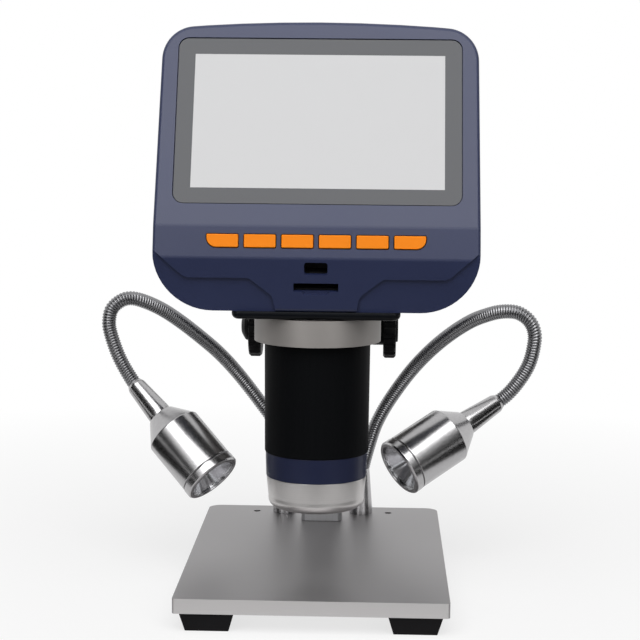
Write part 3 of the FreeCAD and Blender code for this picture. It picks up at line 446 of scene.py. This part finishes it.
# The barrel: a tube that stays in the ring, and round it the focusing sleeve, a smooth black
# rubber grip over a blue anodised band and a satin aluminium nose with a rolled edge.
def grip_finish():
    """Soft black rubber with faint lengthwise grinding marks."""
    skin = Finish("grip_rubber", Roughness=0.62, Specular_IOR_Level=0.05)
    marks = skin.noise(1.0, 3, skin.stretched(700, 700, 8))
    pores = skin.noise(2400, 2)
    skin.set(Base_Color=skin.mix(marks, srgb(6, 7, 9), srgb(10, 11, 13)))
    skin.bump(marks * 0.5 + pores, 0.00004, 0.5)
    return skin


def band_finish():
    """Dark blue anodised aluminium, semi gloss."""
    blue = Finish("blue_anodised", Roughness=0.35, Specular_IOR_Level=0.2)
    cloud = blue.noise(120, 3)
    blue.set(Base_Color=blue.mix(cloud, srgb(30, 35, 60), srgb(37, 42, 68)))
    return blue


def nose_finish():
    """Aluminium turned on a lathe, so its streaks run round the axis."""
    metal = Finish("turned_nose", Metallic=1.0)
    z = metal.axes()[2]
    rings = metal.noise(1.0, 3, metal.add("CombineXYZ", inputs={0: 0.0, 1: 0.0, 2: z * 2200}))
    metal.set(Base_Color=metal.mix(rings, srgb(184, 181, 180), srgb(200, 198, 197)))
    metal.set(Roughness=0.3 + rings * 0.1)
    metal.bump(rings, 0.00001, 0.4)
    return metal


# Black for the inner parts of the barrel, also used as painted shade in the mouths of the sockets.
black_and_painted_shade = rubber_finish("black_and_painted_shade", srgb(16, 16, 18), 0.5)
turned_nose = nose_finish()
seat("rubber_grip", eased("focus_grip", 0.5 * MM, 3), grip_finish(), "focus_sleeve", "grip_black",
     "focus_grip")
seat("blue_band", eased("colour_band", 0.2 * MM), band_finish(), "focus_sleeve", "band_blue",
     "colour_band")
seat("nose", eased("nose_ring", 0.2 * MM), turned_nose, "focus_sleeve", "nose_silver",
     "nose_ring")
dress(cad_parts["barrel_core"], turned_nose)
dress(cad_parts["lens_carrier"], black_and_painted_shade)


def clear_finish(name, colour):
    """Optical glass with a faint blue coating."""
    glass = Finish(name, Base_Color=colour, IOR=1.5, Transmission_Weight=1.0)
    smear = glass.noise(60, 3)
    glass.set(Roughness=0.02 + smear * 0.03)
    return glass


dress(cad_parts["objective_lens"], clear_finish("coated_glass", (0.8, 0.88, 0.96, 1)))


# The screen head: two shells of dark blue moulded plastic with a fine spark-eroded grain, parted
# by a narrow joint round the side. The face leans back; below its crease a band holds the keys,
# and under the ridge the chin leans in to the flange. Pairs of values are places in y and z.
HALF_TOP = 60.2 * MM
HALF_LOW = 61.0 * MM
HEAD_TOP = 211.8 * MM
CROWN = 2.8 * MM
HEAD_LOW = 103.7 * MM
TOP_CORNER = 12.5 * MM
LOW_CORNER = 22.0 * MM
CREASE = (-26.6 * MM, 136.0 * MM)
RIDGE = (-28.6 * MM, 124.2 * MM)
CHIN_Y = -24.0 * MM
FACE_TILT = math.radians(22)
SPLIT_Y = 8.0 * MM
JOINT = 0.3 * MM
BACK_Y = 26.0 * MM
BACK_TOP_Y = 20.5 * MM
BACK_FOLD_Z = 125.0 * MM
WALL = 2.2 * MM
FRONT_EASE = 3.4 * MM
BACK_EASE = 4.5 * MM
FOLD_EASE = 1.6 * MM
EASE_STEPS = 5
RIM_OVER = math.radians(35)
FOLD_OVER = math.radians(9)
HEAD_FLAT_BELOW = math.radians(0.5)
CORNER_STEPS = 14
CROWN_SHARES = (0.72, 0.5, 0.25, 0.0, -0.25, -0.5, -0.72)
DEEP = 60.0 * MM
WIDE = 80.0 * MM
BACK_SLOPE = (BACK_TOP_Y - BACK_Y) / (HEAD_TOP - BACK_FOLD_Z)


def round_corners(corners, steps=CORNER_STEPS):
    """Points of an outline; each corner is (a, b, radius)."""
    points = []
    count = len(corners)
    for i, (a, b, radius) in enumerate(corners):
        here = Vector((a, b))
        if radius <= 0:
            points.append(here)
            continue
        before = (Vector(corners[i - 1][:2]) - here).normalized()
        after = (Vector(corners[(i + 1) % count][:2]) - here).normalized()
        half = before.angle(after) / 2
        centre = here + (before + after).normalized() * radius / math.sin(half)
        start = here + before * radius / math.tan(half) - centre
        end = here + after * radius / math.tan(half) - centre
        for step in range(steps + 1):
            points.append(centre + start.slerp(end, step / steps) * radius)
    return points


def prism(name, points, low, high, along):
    """A solid of an outline pushed from low to high; along is the axis it leaves out."""
    mesh = bmesh.new()
    rings = []
    for depth in (low, high):
        ring = []
        for p in points:
            ring.append(mesh.verts.new((depth, p.x, p.y) if along == "x" else (p.x, depth, p.y)))
        rings.append(ring)
    count = len(points)
    for i in range(count):
        j = (i + 1) % count
        mesh.faces.new((rings[0][i], rings[0][j], rings[1][j], rings[1][i]))
    mesh.faces.new(rings[0])
    mesh.faces.new(rings[1])
    bmesh.ops.recalc_face_normals(mesh, faces=mesh.faces)
    data = bpy.data.meshes.new(name)
    mesh.to_mesh(data)
    mesh.free()
    solid = bpy.data.objects.new(name, data)
    bpy.context.scene.collection.objects.link(solid)
    return solid


def settle(solid):
    """Apply a solid's modifiers."""
    data = bpy.data.meshes.new_from_object(solid.evaluated_get(bpy.context.evaluated_depsgraph_get()))
    solid.modifiers.clear()
    solid.data = data
    return solid


def combine(solid, tool, operation):
    """Cut, join or intersect a solid with a tool, which is then thrown away."""
    change = solid.modifiers.new("change", "BOOLEAN")
    change.solver = "EXACT"
    change.operation = operation
    change.object = tool
    settle(solid)
    bpy.data.objects.remove(tool)
    return solid


def head_form(inset):
    """The head's outside, or the same form a wall further in."""
    shoulder = HEAD_TOP - CROWN - inset
    top = HALF_TOP - inset
    low = HALF_LOW - inset
    outline = [(-low, HEAD_LOW + inset, LOW_CORNER - inset),
               (low, HEAD_LOW + inset, LOW_CORNER - inset),
               (top, shoulder, TOP_CORNER - inset)]
    for share in CROWN_SHARES:
        outline.append((top * share, shoulder + CROWN * (1 - share * share), 0))
    outline.append((-top, shoulder, TOP_CORNER - inset))
    front = prism("front_form", round_corners(outline), -DEEP, DEEP, "y")
    high = HEAD_TOP + 4 * MM
    shift = inset / math.cos(FACE_TILT)
    profile = [(CHIN_Y + inset, HEAD_LOW - MM), (BACK_Y - inset, HEAD_LOW - MM),
               (BACK_Y - inset, BACK_FOLD_Z),
               (BACK_Y - inset + (high - BACK_FOLD_Z) * BACK_SLOPE, high),
               (CREASE[0] + (high - CREASE[1]) * math.tan(FACE_TILT) + shift, high),
               (CREASE[0] + shift, CREASE[1]), (RIDGE[0] + inset, RIDGE[1])]
    side = prism("side_form", [Vector(p) for p in profile], -WIDE, WIDE, "x")
    return combine(front, side, "INTERSECT")


def ease_head(solid):
    """Round the rims and folds of the head, each by its own radius."""
    mesh = bmesh.new()
    mesh.from_mesh(solid.data)
    bmesh.ops.remove_doubles(mesh, verts=mesh.verts, dist=WELD)
    bmesh.ops.dissolve_limit(mesh, angle_limit=HEAD_FLAT_BELOW, verts=mesh.verts, edges=mesh.edges)
    weights = mesh.edges.layers.float.new("bevel_weight_edge")
    widest = max(FRONT_EASE, BACK_EASE, FOLD_EASE)
    for edge in mesh.edges:
        if len(edge.link_faces) != 2:
            continue
        turn = edge.calc_face_angle()
        middle = (edge.verts[0].co + edge.verts[1].co) / 2
        if turn > RIM_OVER:
            edge[weights] = (BACK_EASE if middle.y > SPLIT_Y else FRONT_EASE) / widest
        elif turn > FOLD_OVER:
            edge[weights] = FOLD_EASE / widest
    mesh.to_mesh(solid.data)
    mesh.free()
    ease = solid.modifiers.new("ease", "BEVEL")
    ease.limit_method = "WEIGHT"
    ease.width = widest
    ease.segments = EASE_STEPS
    ease.profile = 0.5
    return settle(solid)


def on_face(low, high, rise, lift):
    """Place on a leaning face of the profile: local Y runs up the face and Z points out of it."""
    up = (Vector((0, high[0] - low[0], high[1] - low[1]))).normalized()
    across = Vector((1, 0, 0))
    out = across.cross(up)
    at = Vector((0, low[0], low[1])) + up * rise + out * lift
    return Matrix.Translation(at) @ Matrix((across, up, out)).transposed().to_4x4()


def plug(name, corners, depth, at):
    """A cutting tool: a rounded outline pushed along its own Z."""
    tool = prism(name, round_corners(corners, 6), 0, depth, "y")
    tool.data.transform(Matrix(((1, 0, 0, 0), (0, 0, 1, 0), (0, 1, 0, 0), (0, 0, 0, 1))))
    tool.data.transform(at)
    # Changing Y for Z turned the faces inside out.
    mesh = bmesh.new()
    mesh.from_mesh(tool.data)
    bmesh.ops.recalc_face_normals(mesh, faces=mesh.faces)
    mesh.to_mesh(tool.data)
    mesh.free()
    return tool


def rectangle(width, height, radius):
    """The corners of a rounded rectangle about its middle."""
    return [(-width / 2, -height / 2, radius), (width / 2, -height / 2, radius),
            (width / 2, height / 2, radius), (-width / 2, height / 2, radius)]


def rod(name, radius, start, end, sides=48):
    """A round cutting tool between two points."""
    mesh = bmesh.new()
    way = Vector(end) - Vector(start)
    turn = way.to_track_quat("Z", "Y").to_matrix().to_4x4()
    middle = Matrix.Translation((Vector(start) + Vector(end)) / 2)
    bmesh.ops.create_cone(mesh, cap_ends=True, segments=sides, radius1=radius, radius2=radius,
                          depth=way.length, matrix=middle @ turn)
    data = bpy.data.meshes.new(name)
    mesh.to_mesh(data)
    mesh.free()
    tool = bpy.data.objects.new(name, data)
    bpy.context.scene.collection.objects.link(tool)
    return tool


# What is cut out of the shells. Each RISE is measured up its face from the lower fold, and each
# DROP down the chin from the ridge; FACE_HIGH is a second point of the leaning face.
GLASS_WIDTH = 107.4 * MM
GLASS_HEIGHT = 66.0 * MM
GLASS_CORNER = 3.8 * MM
GLASS_RISE = 41.8 * MM
GLASS_THICK = 1.2 * MM
GLASS_SUNK = 0.3 * MM
GLASS_GAP = 0.35 * MM
GLASS_CUT = 6.0 * MM
WINDOW_WIDTH = 100.0 * MM
WINDOW_HEIGHT = 59.0 * MM
FACE_HIGH = (CREASE[0] + 60 * MM * math.tan(FACE_TILT), CREASE[1] + 60 * MM)
KEY_WIDTH = 11.8 * MM
KEY_HEIGHT = 4.9 * MM
KEY_PITCH = 13.9 * MM
KEY_RISE = 6.3 * MM
KEY_GAP = 0.3 * MM
KEY_ROUND = 3.6 * MM
KEY_CORNER = 0.5 * MM
KEY_COUNT = 6
HOLE_BEHIND = 5.0 * MM
HOLE_LONG = 9.0 * MM
CHIN = (CHIN_Y, HEAD_LOW)
CHIN_LENGTH = math.dist(CHIN, RIDGE)
USB_DROP = 4.0 * MM
USB_WIDTH = 8.7 * MM
USB_HEIGHT = 4.8 * MM
USB_CORNER = 1.0 * MM
CARD_DROP = 11.3 * MM
CARD_WIDTH = 16.7 * MM
CARD_HEIGHT = 3.3 * MM
SCOOP_DEPTH = 1.2 * MM
SCOOP_LOW = (4.6 * MM, -1.2 * MM)
SCOOP_HIGH = (5.4 * MM, 1.0 * MM)
SCOOP_CORNER = 1.1 * MM
RECESS_DEPTH = 1.2 * MM
RECESS_TOP = 116.5 * MM
RECESS_IN_TOP = 25.0 * MM
RECESS_IN_LOW = 14.8 * MM
RECESS_BEND = 49.0 * MM
RECESS_END = 130.0 * MM
RECESS_OUT_TOP = 64.0 * MM
RECESS_OUT = 70.0 * MM
RECESS_FOOT = (1.5 * MM, 6.0 * MM)
THROAT = 19.1 * MM
SCREW_HEAD = 3.0 * MM
WELL_DEPTH = 1.8 * MM
BACK_SCREWS = ((-50 * MM, 120 * MM), (50 * MM, 120 * MM), (-48 * MM, 196 * MM), (48 * MM, 196 * MM))


def key_corners(number, grow):
    """Outline of a key or of its opening; the outer keys have one big rounded corner."""
    width = KEY_WIDTH / 2 + grow
    height = KEY_HEIGHT / 2 + grow
    small = KEY_CORNER + grow
    low_left = KEY_ROUND + grow if number == 0 else small
    low_right = KEY_ROUND + grow if number == KEY_COUNT - 1 else small
    return [(-width, -height, low_left), (width, -height, low_right),
            (width, height, small), (-width, height, small)]


def key_place(number, lift):
    """Where a key stands on the band."""
    shift = Matrix.Translation(((number - (KEY_COUNT - 1) / 2) * KEY_PITCH, 0, 0))
    return shift @ on_face(RIDGE, CREASE, KEY_RISE, lift)


def open_up(shell, name, corners, depth, at):
    """Cut an opening of that outline."""
    combine(shell, plug(name, corners, depth, at), "DIFFERENCE")


def cut_front(shell):
    """Open the front shell for the glass, the keys, the sockets and the two grips of the chin."""
    seat_at = on_face(CREASE, FACE_HIGH, GLASS_RISE, -GLASS_SUNK - GLASS_THICK)
    seat_outline = rectangle(GLASS_WIDTH + 2 * GLASS_GAP, GLASS_HEIGHT + 2 * GLASS_GAP,
                             GLASS_CORNER + GLASS_GAP)
    open_up(shell, "glass_seat", seat_outline, GLASS_CUT, seat_at)
    open_up(shell, "window", rectangle(WINDOW_WIDTH, WINDOW_HEIGHT, 0), GLASS_CUT,
            seat_at @ Matrix.Translation((0, 0, -HOLE_BEHIND)))
    for number in range(KEY_COUNT):
        open_up(shell, "key_hole", key_corners(number, KEY_GAP), HOLE_LONG,
                key_place(number, -HOLE_BEHIND))
    open_up(shell, "usb_hole", rectangle(USB_WIDTH, USB_HEIGHT, USB_CORNER), HOLE_LONG,
            on_face(CHIN, RIDGE, CHIN_LENGTH - USB_DROP, -HOLE_BEHIND))
    open_up(shell, "card_hole", rectangle(CARD_WIDTH, CARD_HEIGHT, 0), HOLE_LONG,
            on_face(CHIN, RIDGE, CHIN_LENGTH - CARD_DROP, -HOLE_BEHIND))
    scoop = [(-SCOOP_LOW[0], SCOOP_LOW[1], SCOOP_CORNER), (SCOOP_LOW[0], SCOOP_LOW[1], SCOOP_CORNER),
             (SCOOP_HIGH[0], SCOOP_HIGH[1], 0), (-SCOOP_HIGH[0], SCOOP_HIGH[1], 0)]
    open_up(shell, "scoop", scoop, 4 * MM,
            on_face(CHIN, RIDGE, CHIN_LENGTH - CARD_DROP - CARD_HEIGHT / 2, -SCOOP_DEPTH))
    lean = (CHIN_Y - RIDGE[0]) / (RIDGE[1] - HEAD_LOW)
    low_z = HEAD_LOW - 2 * MM
    high_z = RECESS_END + 2 * MM
    low_y = CHIN_Y + RECESS_DEPTH + (HEAD_LOW - low_z) * lean
    high_y = low_y - (high_z - low_z) * lean
    layer = [(low_y, low_z), (high_y, high_z), (high_y - 6 * MM, high_z), (low_y - 6 * MM, low_z)]
    for side in (-1, 1):
        plan = [(side * RECESS_IN_TOP, RECESS_TOP, 3 * MM),
                (side * RECESS_BEND, RECESS_TOP, 5 * MM),
                (side * RECESS_OUT_TOP, RECESS_END, 0),
                (side * RECESS_OUT, RECESS_END, 0),
                (side * RECESS_OUT, HEAD_LOW - MM, 0),
                (side * RECESS_IN_LOW, HEAD_LOW - MM, 0),
                (side * (RECESS_IN_LOW + RECESS_FOOT[0]), HEAD_LOW + RECESS_FOOT[1], 4 * MM)]
        area = prism("recess", round_corners(plan, 8), -DEEP, DEEP, "y")
        reach = prism("reach", [Vector(p) for p in layer], -100 * MM, 100 * MM, "x")
        combine(shell, combine(area, reach, "INTERSECT"), "DIFFERENCE")


def half_space(name, low, high):
    """A block that keeps what lies between two depths."""
    wide, bottom, top = 90 * MM, 80 * MM, 240 * MM
    square = [Vector(p) for p in ((-wide, bottom), (wide, bottom), (wide, top), (-wide, top))]
    return prism(name, square, low, high, "y")


def head_finish():
    """Dark blue ABS: fine moulded grain and a soft satin sheen."""
    plastic = Finish("head_plastic", Specular_IOR_Level=0.56)
    grain = plastic.noise(3200, 2)
    cloud = plastic.noise(35, 3)
    plastic.set(Base_Color=plastic.mix(cloud, srgb(31, 39, 72), srgb(35, 44, 79)))
    plastic.set(Roughness=0.4 + grain * 0.08 + cloud * 0.05)
    plastic.bump(grain, 0.00004, 0.5)
    return plastic


head_plastic = head_finish()
hollow_head = combine(ease_head(head_form(0)), head_form(WALL), "DIFFERENCE")
throat = rod("throat", THROAT, (0, 0, HEAD_LOW - 5 * MM), (0, 0, HEAD_LOW + 5 * MM), 96)
front_half = combine(hollow_head, throat, "DIFFERENCE")
back_half = front_half.copy()
back_half.data = front_half.data.copy()
bpy.context.scene.collection.objects.link(back_half)
combine(front_half, half_space("keep_front", -DEEP, SPLIT_Y - JOINT / 2), "INTERSECT")
combine(back_half, half_space("keep_back", SPLIT_Y + JOINT / 2, DEEP), "INTERSECT")
cut_front(front_half)
for x, z in BACK_SCREWS:
    back_at = BACK_Y + BACK_SLOPE * max(0, z - BACK_FOLD_Z)
    well = rod("screw_well", SCREW_HEAD, (x, back_at - WELL_DEPTH, z), (x, back_at + 2 * MM, z))
    combine(back_half, well, "DIFFERENCE")
for name, half, node in (("front_shell", front_half, "head_front_shell"),
                         ("back_shell", back_half, "head_rear_shell")):
    data = half.data
    bpy.data.objects.remove(half)
    seat(name, data, head_plastic, "carriage", "head_blue", node)


# The flange between the head and the barrel: a near-black moulded plate that closes the head
# from below, round the tube of the barrel.
flange_plastic = rubber_finish("flange_plastic", srgb(6, 8, 13), 0.4)
seat("barrel_flange", eased("head_flange", 0.4 * MM, over=50), flange_plastic, "carriage",
     "head_blue", "head_flange")


# The cover glass: one sheet of clear glass printed grey round its edge on the back. The panel
# behind it is off, and shows as a pale grey with painted shade that darkens it towards the top.
SHOWN_WIDTH = 94.8 * MM
SHOWN_HEIGHT = 53.6 * MM
SHOWN_RISE = 41.5 * MM
PAINTED_SHADE_PER_METRE = 3.0


def glass_finish():
    """Glass over a grey printed border and the pale panel, with painted shade that darkens the panel
    towards the top.
    """
    cover = Finish("cover_glass", Roughness=0.12, Specular_IOR_Level=0.15)
    x, _, z = cover.axes()
    rise = (z - CREASE[1]) / math.cos(FACE_TILT)
    across = abs(x) < SHOWN_WIDTH / 2
    along = abs(rise - SHOWN_RISE) < SHOWN_HEIGHT / 2
    # Painted shade: the panel's grey darkens with height up the face.
    painted_shade = (z - CREASE[1]) * PAINTED_SHADE_PER_METRE
    panel = cover.mix(painted_shade, srgb(210, 210, 211), srgb(194, 195, 196))
    cover.set(Base_Color=cover.mix(across * along, srgb(97, 98, 101), panel))
    return cover


dress(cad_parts["display_glass"], glass_finish())
panel_grey = rubber_finish("panel_grey", srgb(150, 150, 150), 0.5)
board_green = rubber_finish("board_green", srgb(30, 90, 55), 0.4)
dress(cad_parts["lcd_panel"], panel_grey)
dress(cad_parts["main_board"], board_green)
dress(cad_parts["sensor_board"], board_green)


# Six orange keys on the band under the screen, moulded in silicone. Each stands half a
# millimetre proud of its own opening, and the outer two have one big rounded corner.
KEY_EASE = 0.35 * MM


def key_finish():
    """Orange silicone, satin, a little darker in its cloudy parts."""
    orange = Finish("key_orange", Roughness=0.45, Specular_IOR_Level=0.15)
    cloud = orange.noise(220, 3)
    orange.set(Base_Color=orange.mix(cloud, srgb(253, 138, 20), srgb(255, 143, 25)))
    orange.bump(orange.noise(2600, 2), 0.00003, 0.5)
    return orange


key_orange = key_finish()
for number in range(KEY_COUNT):
    button = f"button_{number + 1}"
    seat(f"key_{number + 1}", eased(button, KEY_EASE, 3), key_orange, button, "button_orange",
         button)


# The sockets: a USB socket and a card slot, both set back in the chin. Both are coloured the
# barrel's inner black as painted shade, for the dark of their mouths.
dress(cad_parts["usb_socket"], black_and_painted_shade)
dress(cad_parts["card_socket"], black_and_painted_shade)


# The lamps: barrel and bezel turned from aluminium and chromed, on tapered chromed ferrules. A
# clear window and a bright reflector close the front.
def chrome_finish():
    """Bright chrome over fine turning marks."""
    metal = Finish("lamp_chrome", Metallic=1.0)
    marks = metal.noise(900, 3)
    metal.set(Base_Color=metal.mix(marks, srgb(164, 163, 164), srgb(184, 183, 184)))
    metal.set(Roughness=0.2 + marks * 0.06)
    return metal


chrome = chrome_finish()
reflector = Finish("reflector", Metallic=1.0, Roughness=0.12)
cloud = reflector.noise(400)
reflector.set(Base_Color=reflector.mix(cloud, srgb(180, 180, 182), srgb(215, 215, 216)))
window_glass = clear_finish("lamp_window", (0.97, 0.98, 1.0, 1))
for side in ("left", "right"):
    body = f"lamp_{side}"
    seat(f"lamp_barrel_{side}", eased(f"lamp_housing_{side}", 0.25 * MM, over=25), chrome, body,
         "lamp_chrome", f"lamp_housing_{side}")
    seat(f"lamp_rim_{side}", eased(f"lamp_bezel_{side}", 0.12 * MM), chrome, body,
         "lamp_chrome", f"lamp_bezel_{side}")
    seat(f"lamp_sleeve_{side}", eased(f"lamp_ferrule_{side}", 0.15 * MM), chrome, body,
         "lamp_chrome", f"lamp_ferrule_{side}")
    seat(f"base_sleeve_{side}", eased(f"neck_ferrule_{side}", 0.2 * MM), chrome, "stand",
         "lamp_chrome", f"neck_ferrule_{side}")
    dress(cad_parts[f"lamp_lens_{side}"], window_glass)
    dress(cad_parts[f"lamp_reflector_{side}"], reflector)
    dress(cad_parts[f"lamp_board_{side}"], panel_grey)


# The necks: flexible metal hose wound from a steel strip with a wire between its turns, so it
# shows a fine screw of ribs. Each arches over a crown and down to its lamp. The points along
# each neck are in millimetres, from its sleeve on the plate to its lamp.
NECK_RADIUS = 3.0 * MM
RIB_DEPTH = 0.45 * MM
RIB_PITCH = 1.1 * MM
RIB_STEPS = 5
NECK_SIDES = 20
RIB_SMOOTH_BELOW = math.radians(60)
CURVE_PARTS = 24
CURVE_PASSES = 40
NECKS = {
    "left": [(-17.0, 91.7, 17), (-17.1, 91.7, 28), (-21.5, 91, 40), (-27.3, 90, 48.7),
             (-36.8, 86.5, 61.9), (-45, 79.5, 72.5), (-52.8, 70.5, 81.1), (-60.5, 62, 88.8),
             (-68.1, 54.5, 95.1), (-75.7, 49, 99.1), (-80.5, 47, 99.9), (-84, 45.5, 98.5),
             (-86.8, 44.5, 95.7), (-87.7, 43.5, 92), (-87.4, 42.5, 87.1), (-83.9, 40.7, 77.4),
             (-80, 39.9, 70.2), (-76.5, 38.3, 65.3), (-75.2, 37.5, 64)],
    "right": [(17.0, 91.7, 17), (18.6, 91.5, 24.5), (22, 90, 36.9), (24.6, 88.9, 43.5),
              (29.3, 87, 52.3), (37.7, 81.5, 65.3), (46, 74, 75.8), (54.1, 65, 84.3),
              (62, 56.5, 90.9), (67.8, 51.5, 94.1), (73.7, 47.5, 96.3), (79.7, 44.5, 96.7),
              (83.3, 43, 95.2), (85.9, 42, 92.7), (87.4, 41.5, 89.3), (87.7, 41.5, 84.7),
              (85.6, 42.7, 74.6), (79.2, 45, 64.1), (73.6, 46, 58.8), (72, 45, 57.9)],
}


def smooth_path(points, step):
    """Evenly spaced points on a smooth curve through the given ones."""
    fine = []
    ends = [points[0] * 2 - points[1]] + points + [points[-1] * 2 - points[-2]]
    for a, b, c, d in zip(ends, ends[1:], ends[2:], ends[3:]):
        for part in range(CURVE_PARTS):
            t = part / CURVE_PARTS
            fine.append(0.5 * ((2 * b) + (c - a) * t + (2 * a - 5 * b + 4 * c - d) * t * t
                               + (3 * b - a - 3 * c + d) * t ** 3))
    fine.append(points[-1])
    for _ in range(CURVE_PASSES):
        fine[1:-1] = [(p + q + r) / 3 for p, q, r in zip(fine, fine[1:], fine[2:])]
    spaced = [fine[0]]
    travelled = 0.0
    for before, after in zip(fine, fine[1:]):
        length = (after - before).length
        while travelled + length >= step * len(spaced):
            spaced.append(before.lerp(after, (step * len(spaced) - travelled) / length))
        travelled += length
    return spaced


def ribbed_neck(points):
    """A tube along a path with a screw-shaped groove."""
    step = RIB_PITCH / RIB_STEPS
    path = smooth_path([Vector(p) * MM for p in points], step)
    mesh = bmesh.new()
    side = Vector((0, 1, 0))
    rings = []
    for i, point in enumerate(path):
        ahead_at = (path[min(i + 1, len(path) - 1)] - path[max(i - 1, 0)]).normalized()
        side = (side - ahead_at * side.dot(ahead_at)).normalized()
        over = ahead_at.cross(side)
        ring = []
        for k in range(NECK_SIDES):
            angle = 2 * math.pi * k / NECK_SIDES
            phase = 2 * math.pi * i / RIB_STEPS - angle
            radius = NECK_RADIUS - RIB_DEPTH * (0.5 + 0.5 * math.cos(phase)) ** 2
            outward = side * math.cos(angle) + over * math.sin(angle)
            ring.append(mesh.verts.new(point + outward * radius))
        rings.append(ring)
    for low_ring, high_ring in zip(rings, rings[1:]):
        for k in range(NECK_SIDES):
            j = (k + 1) % NECK_SIDES
            mesh.faces.new((low_ring[k], low_ring[j], high_ring[j], high_ring[k]))
    mesh.faces.new(list(reversed(rings[0])))
    mesh.faces.new(rings[-1])
    return mesh


def neck_finish():
    """Nickelled steel strip, darker in the groove."""
    metal = Finish("neck_strip", Metallic=1.0)
    marks = metal.noise(1500, 2)
    metal.set(Base_Color=metal.mix(marks, srgb(118, 118, 120), srgb(150, 150, 152)))
    metal.set(Roughness=0.26 + marks * 0.08)
    return metal


neck_strip = neck_finish()
for side, points in NECKS.items():
    neck = seat(f"flexible_neck_{side}", ribbed_neck(points), neck_strip, None, "neck_metal",
                f"neck_lower_{side}", f"neck_upper_{side}", smooth=RIB_SMOOTH_BELOW)
    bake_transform(neck)
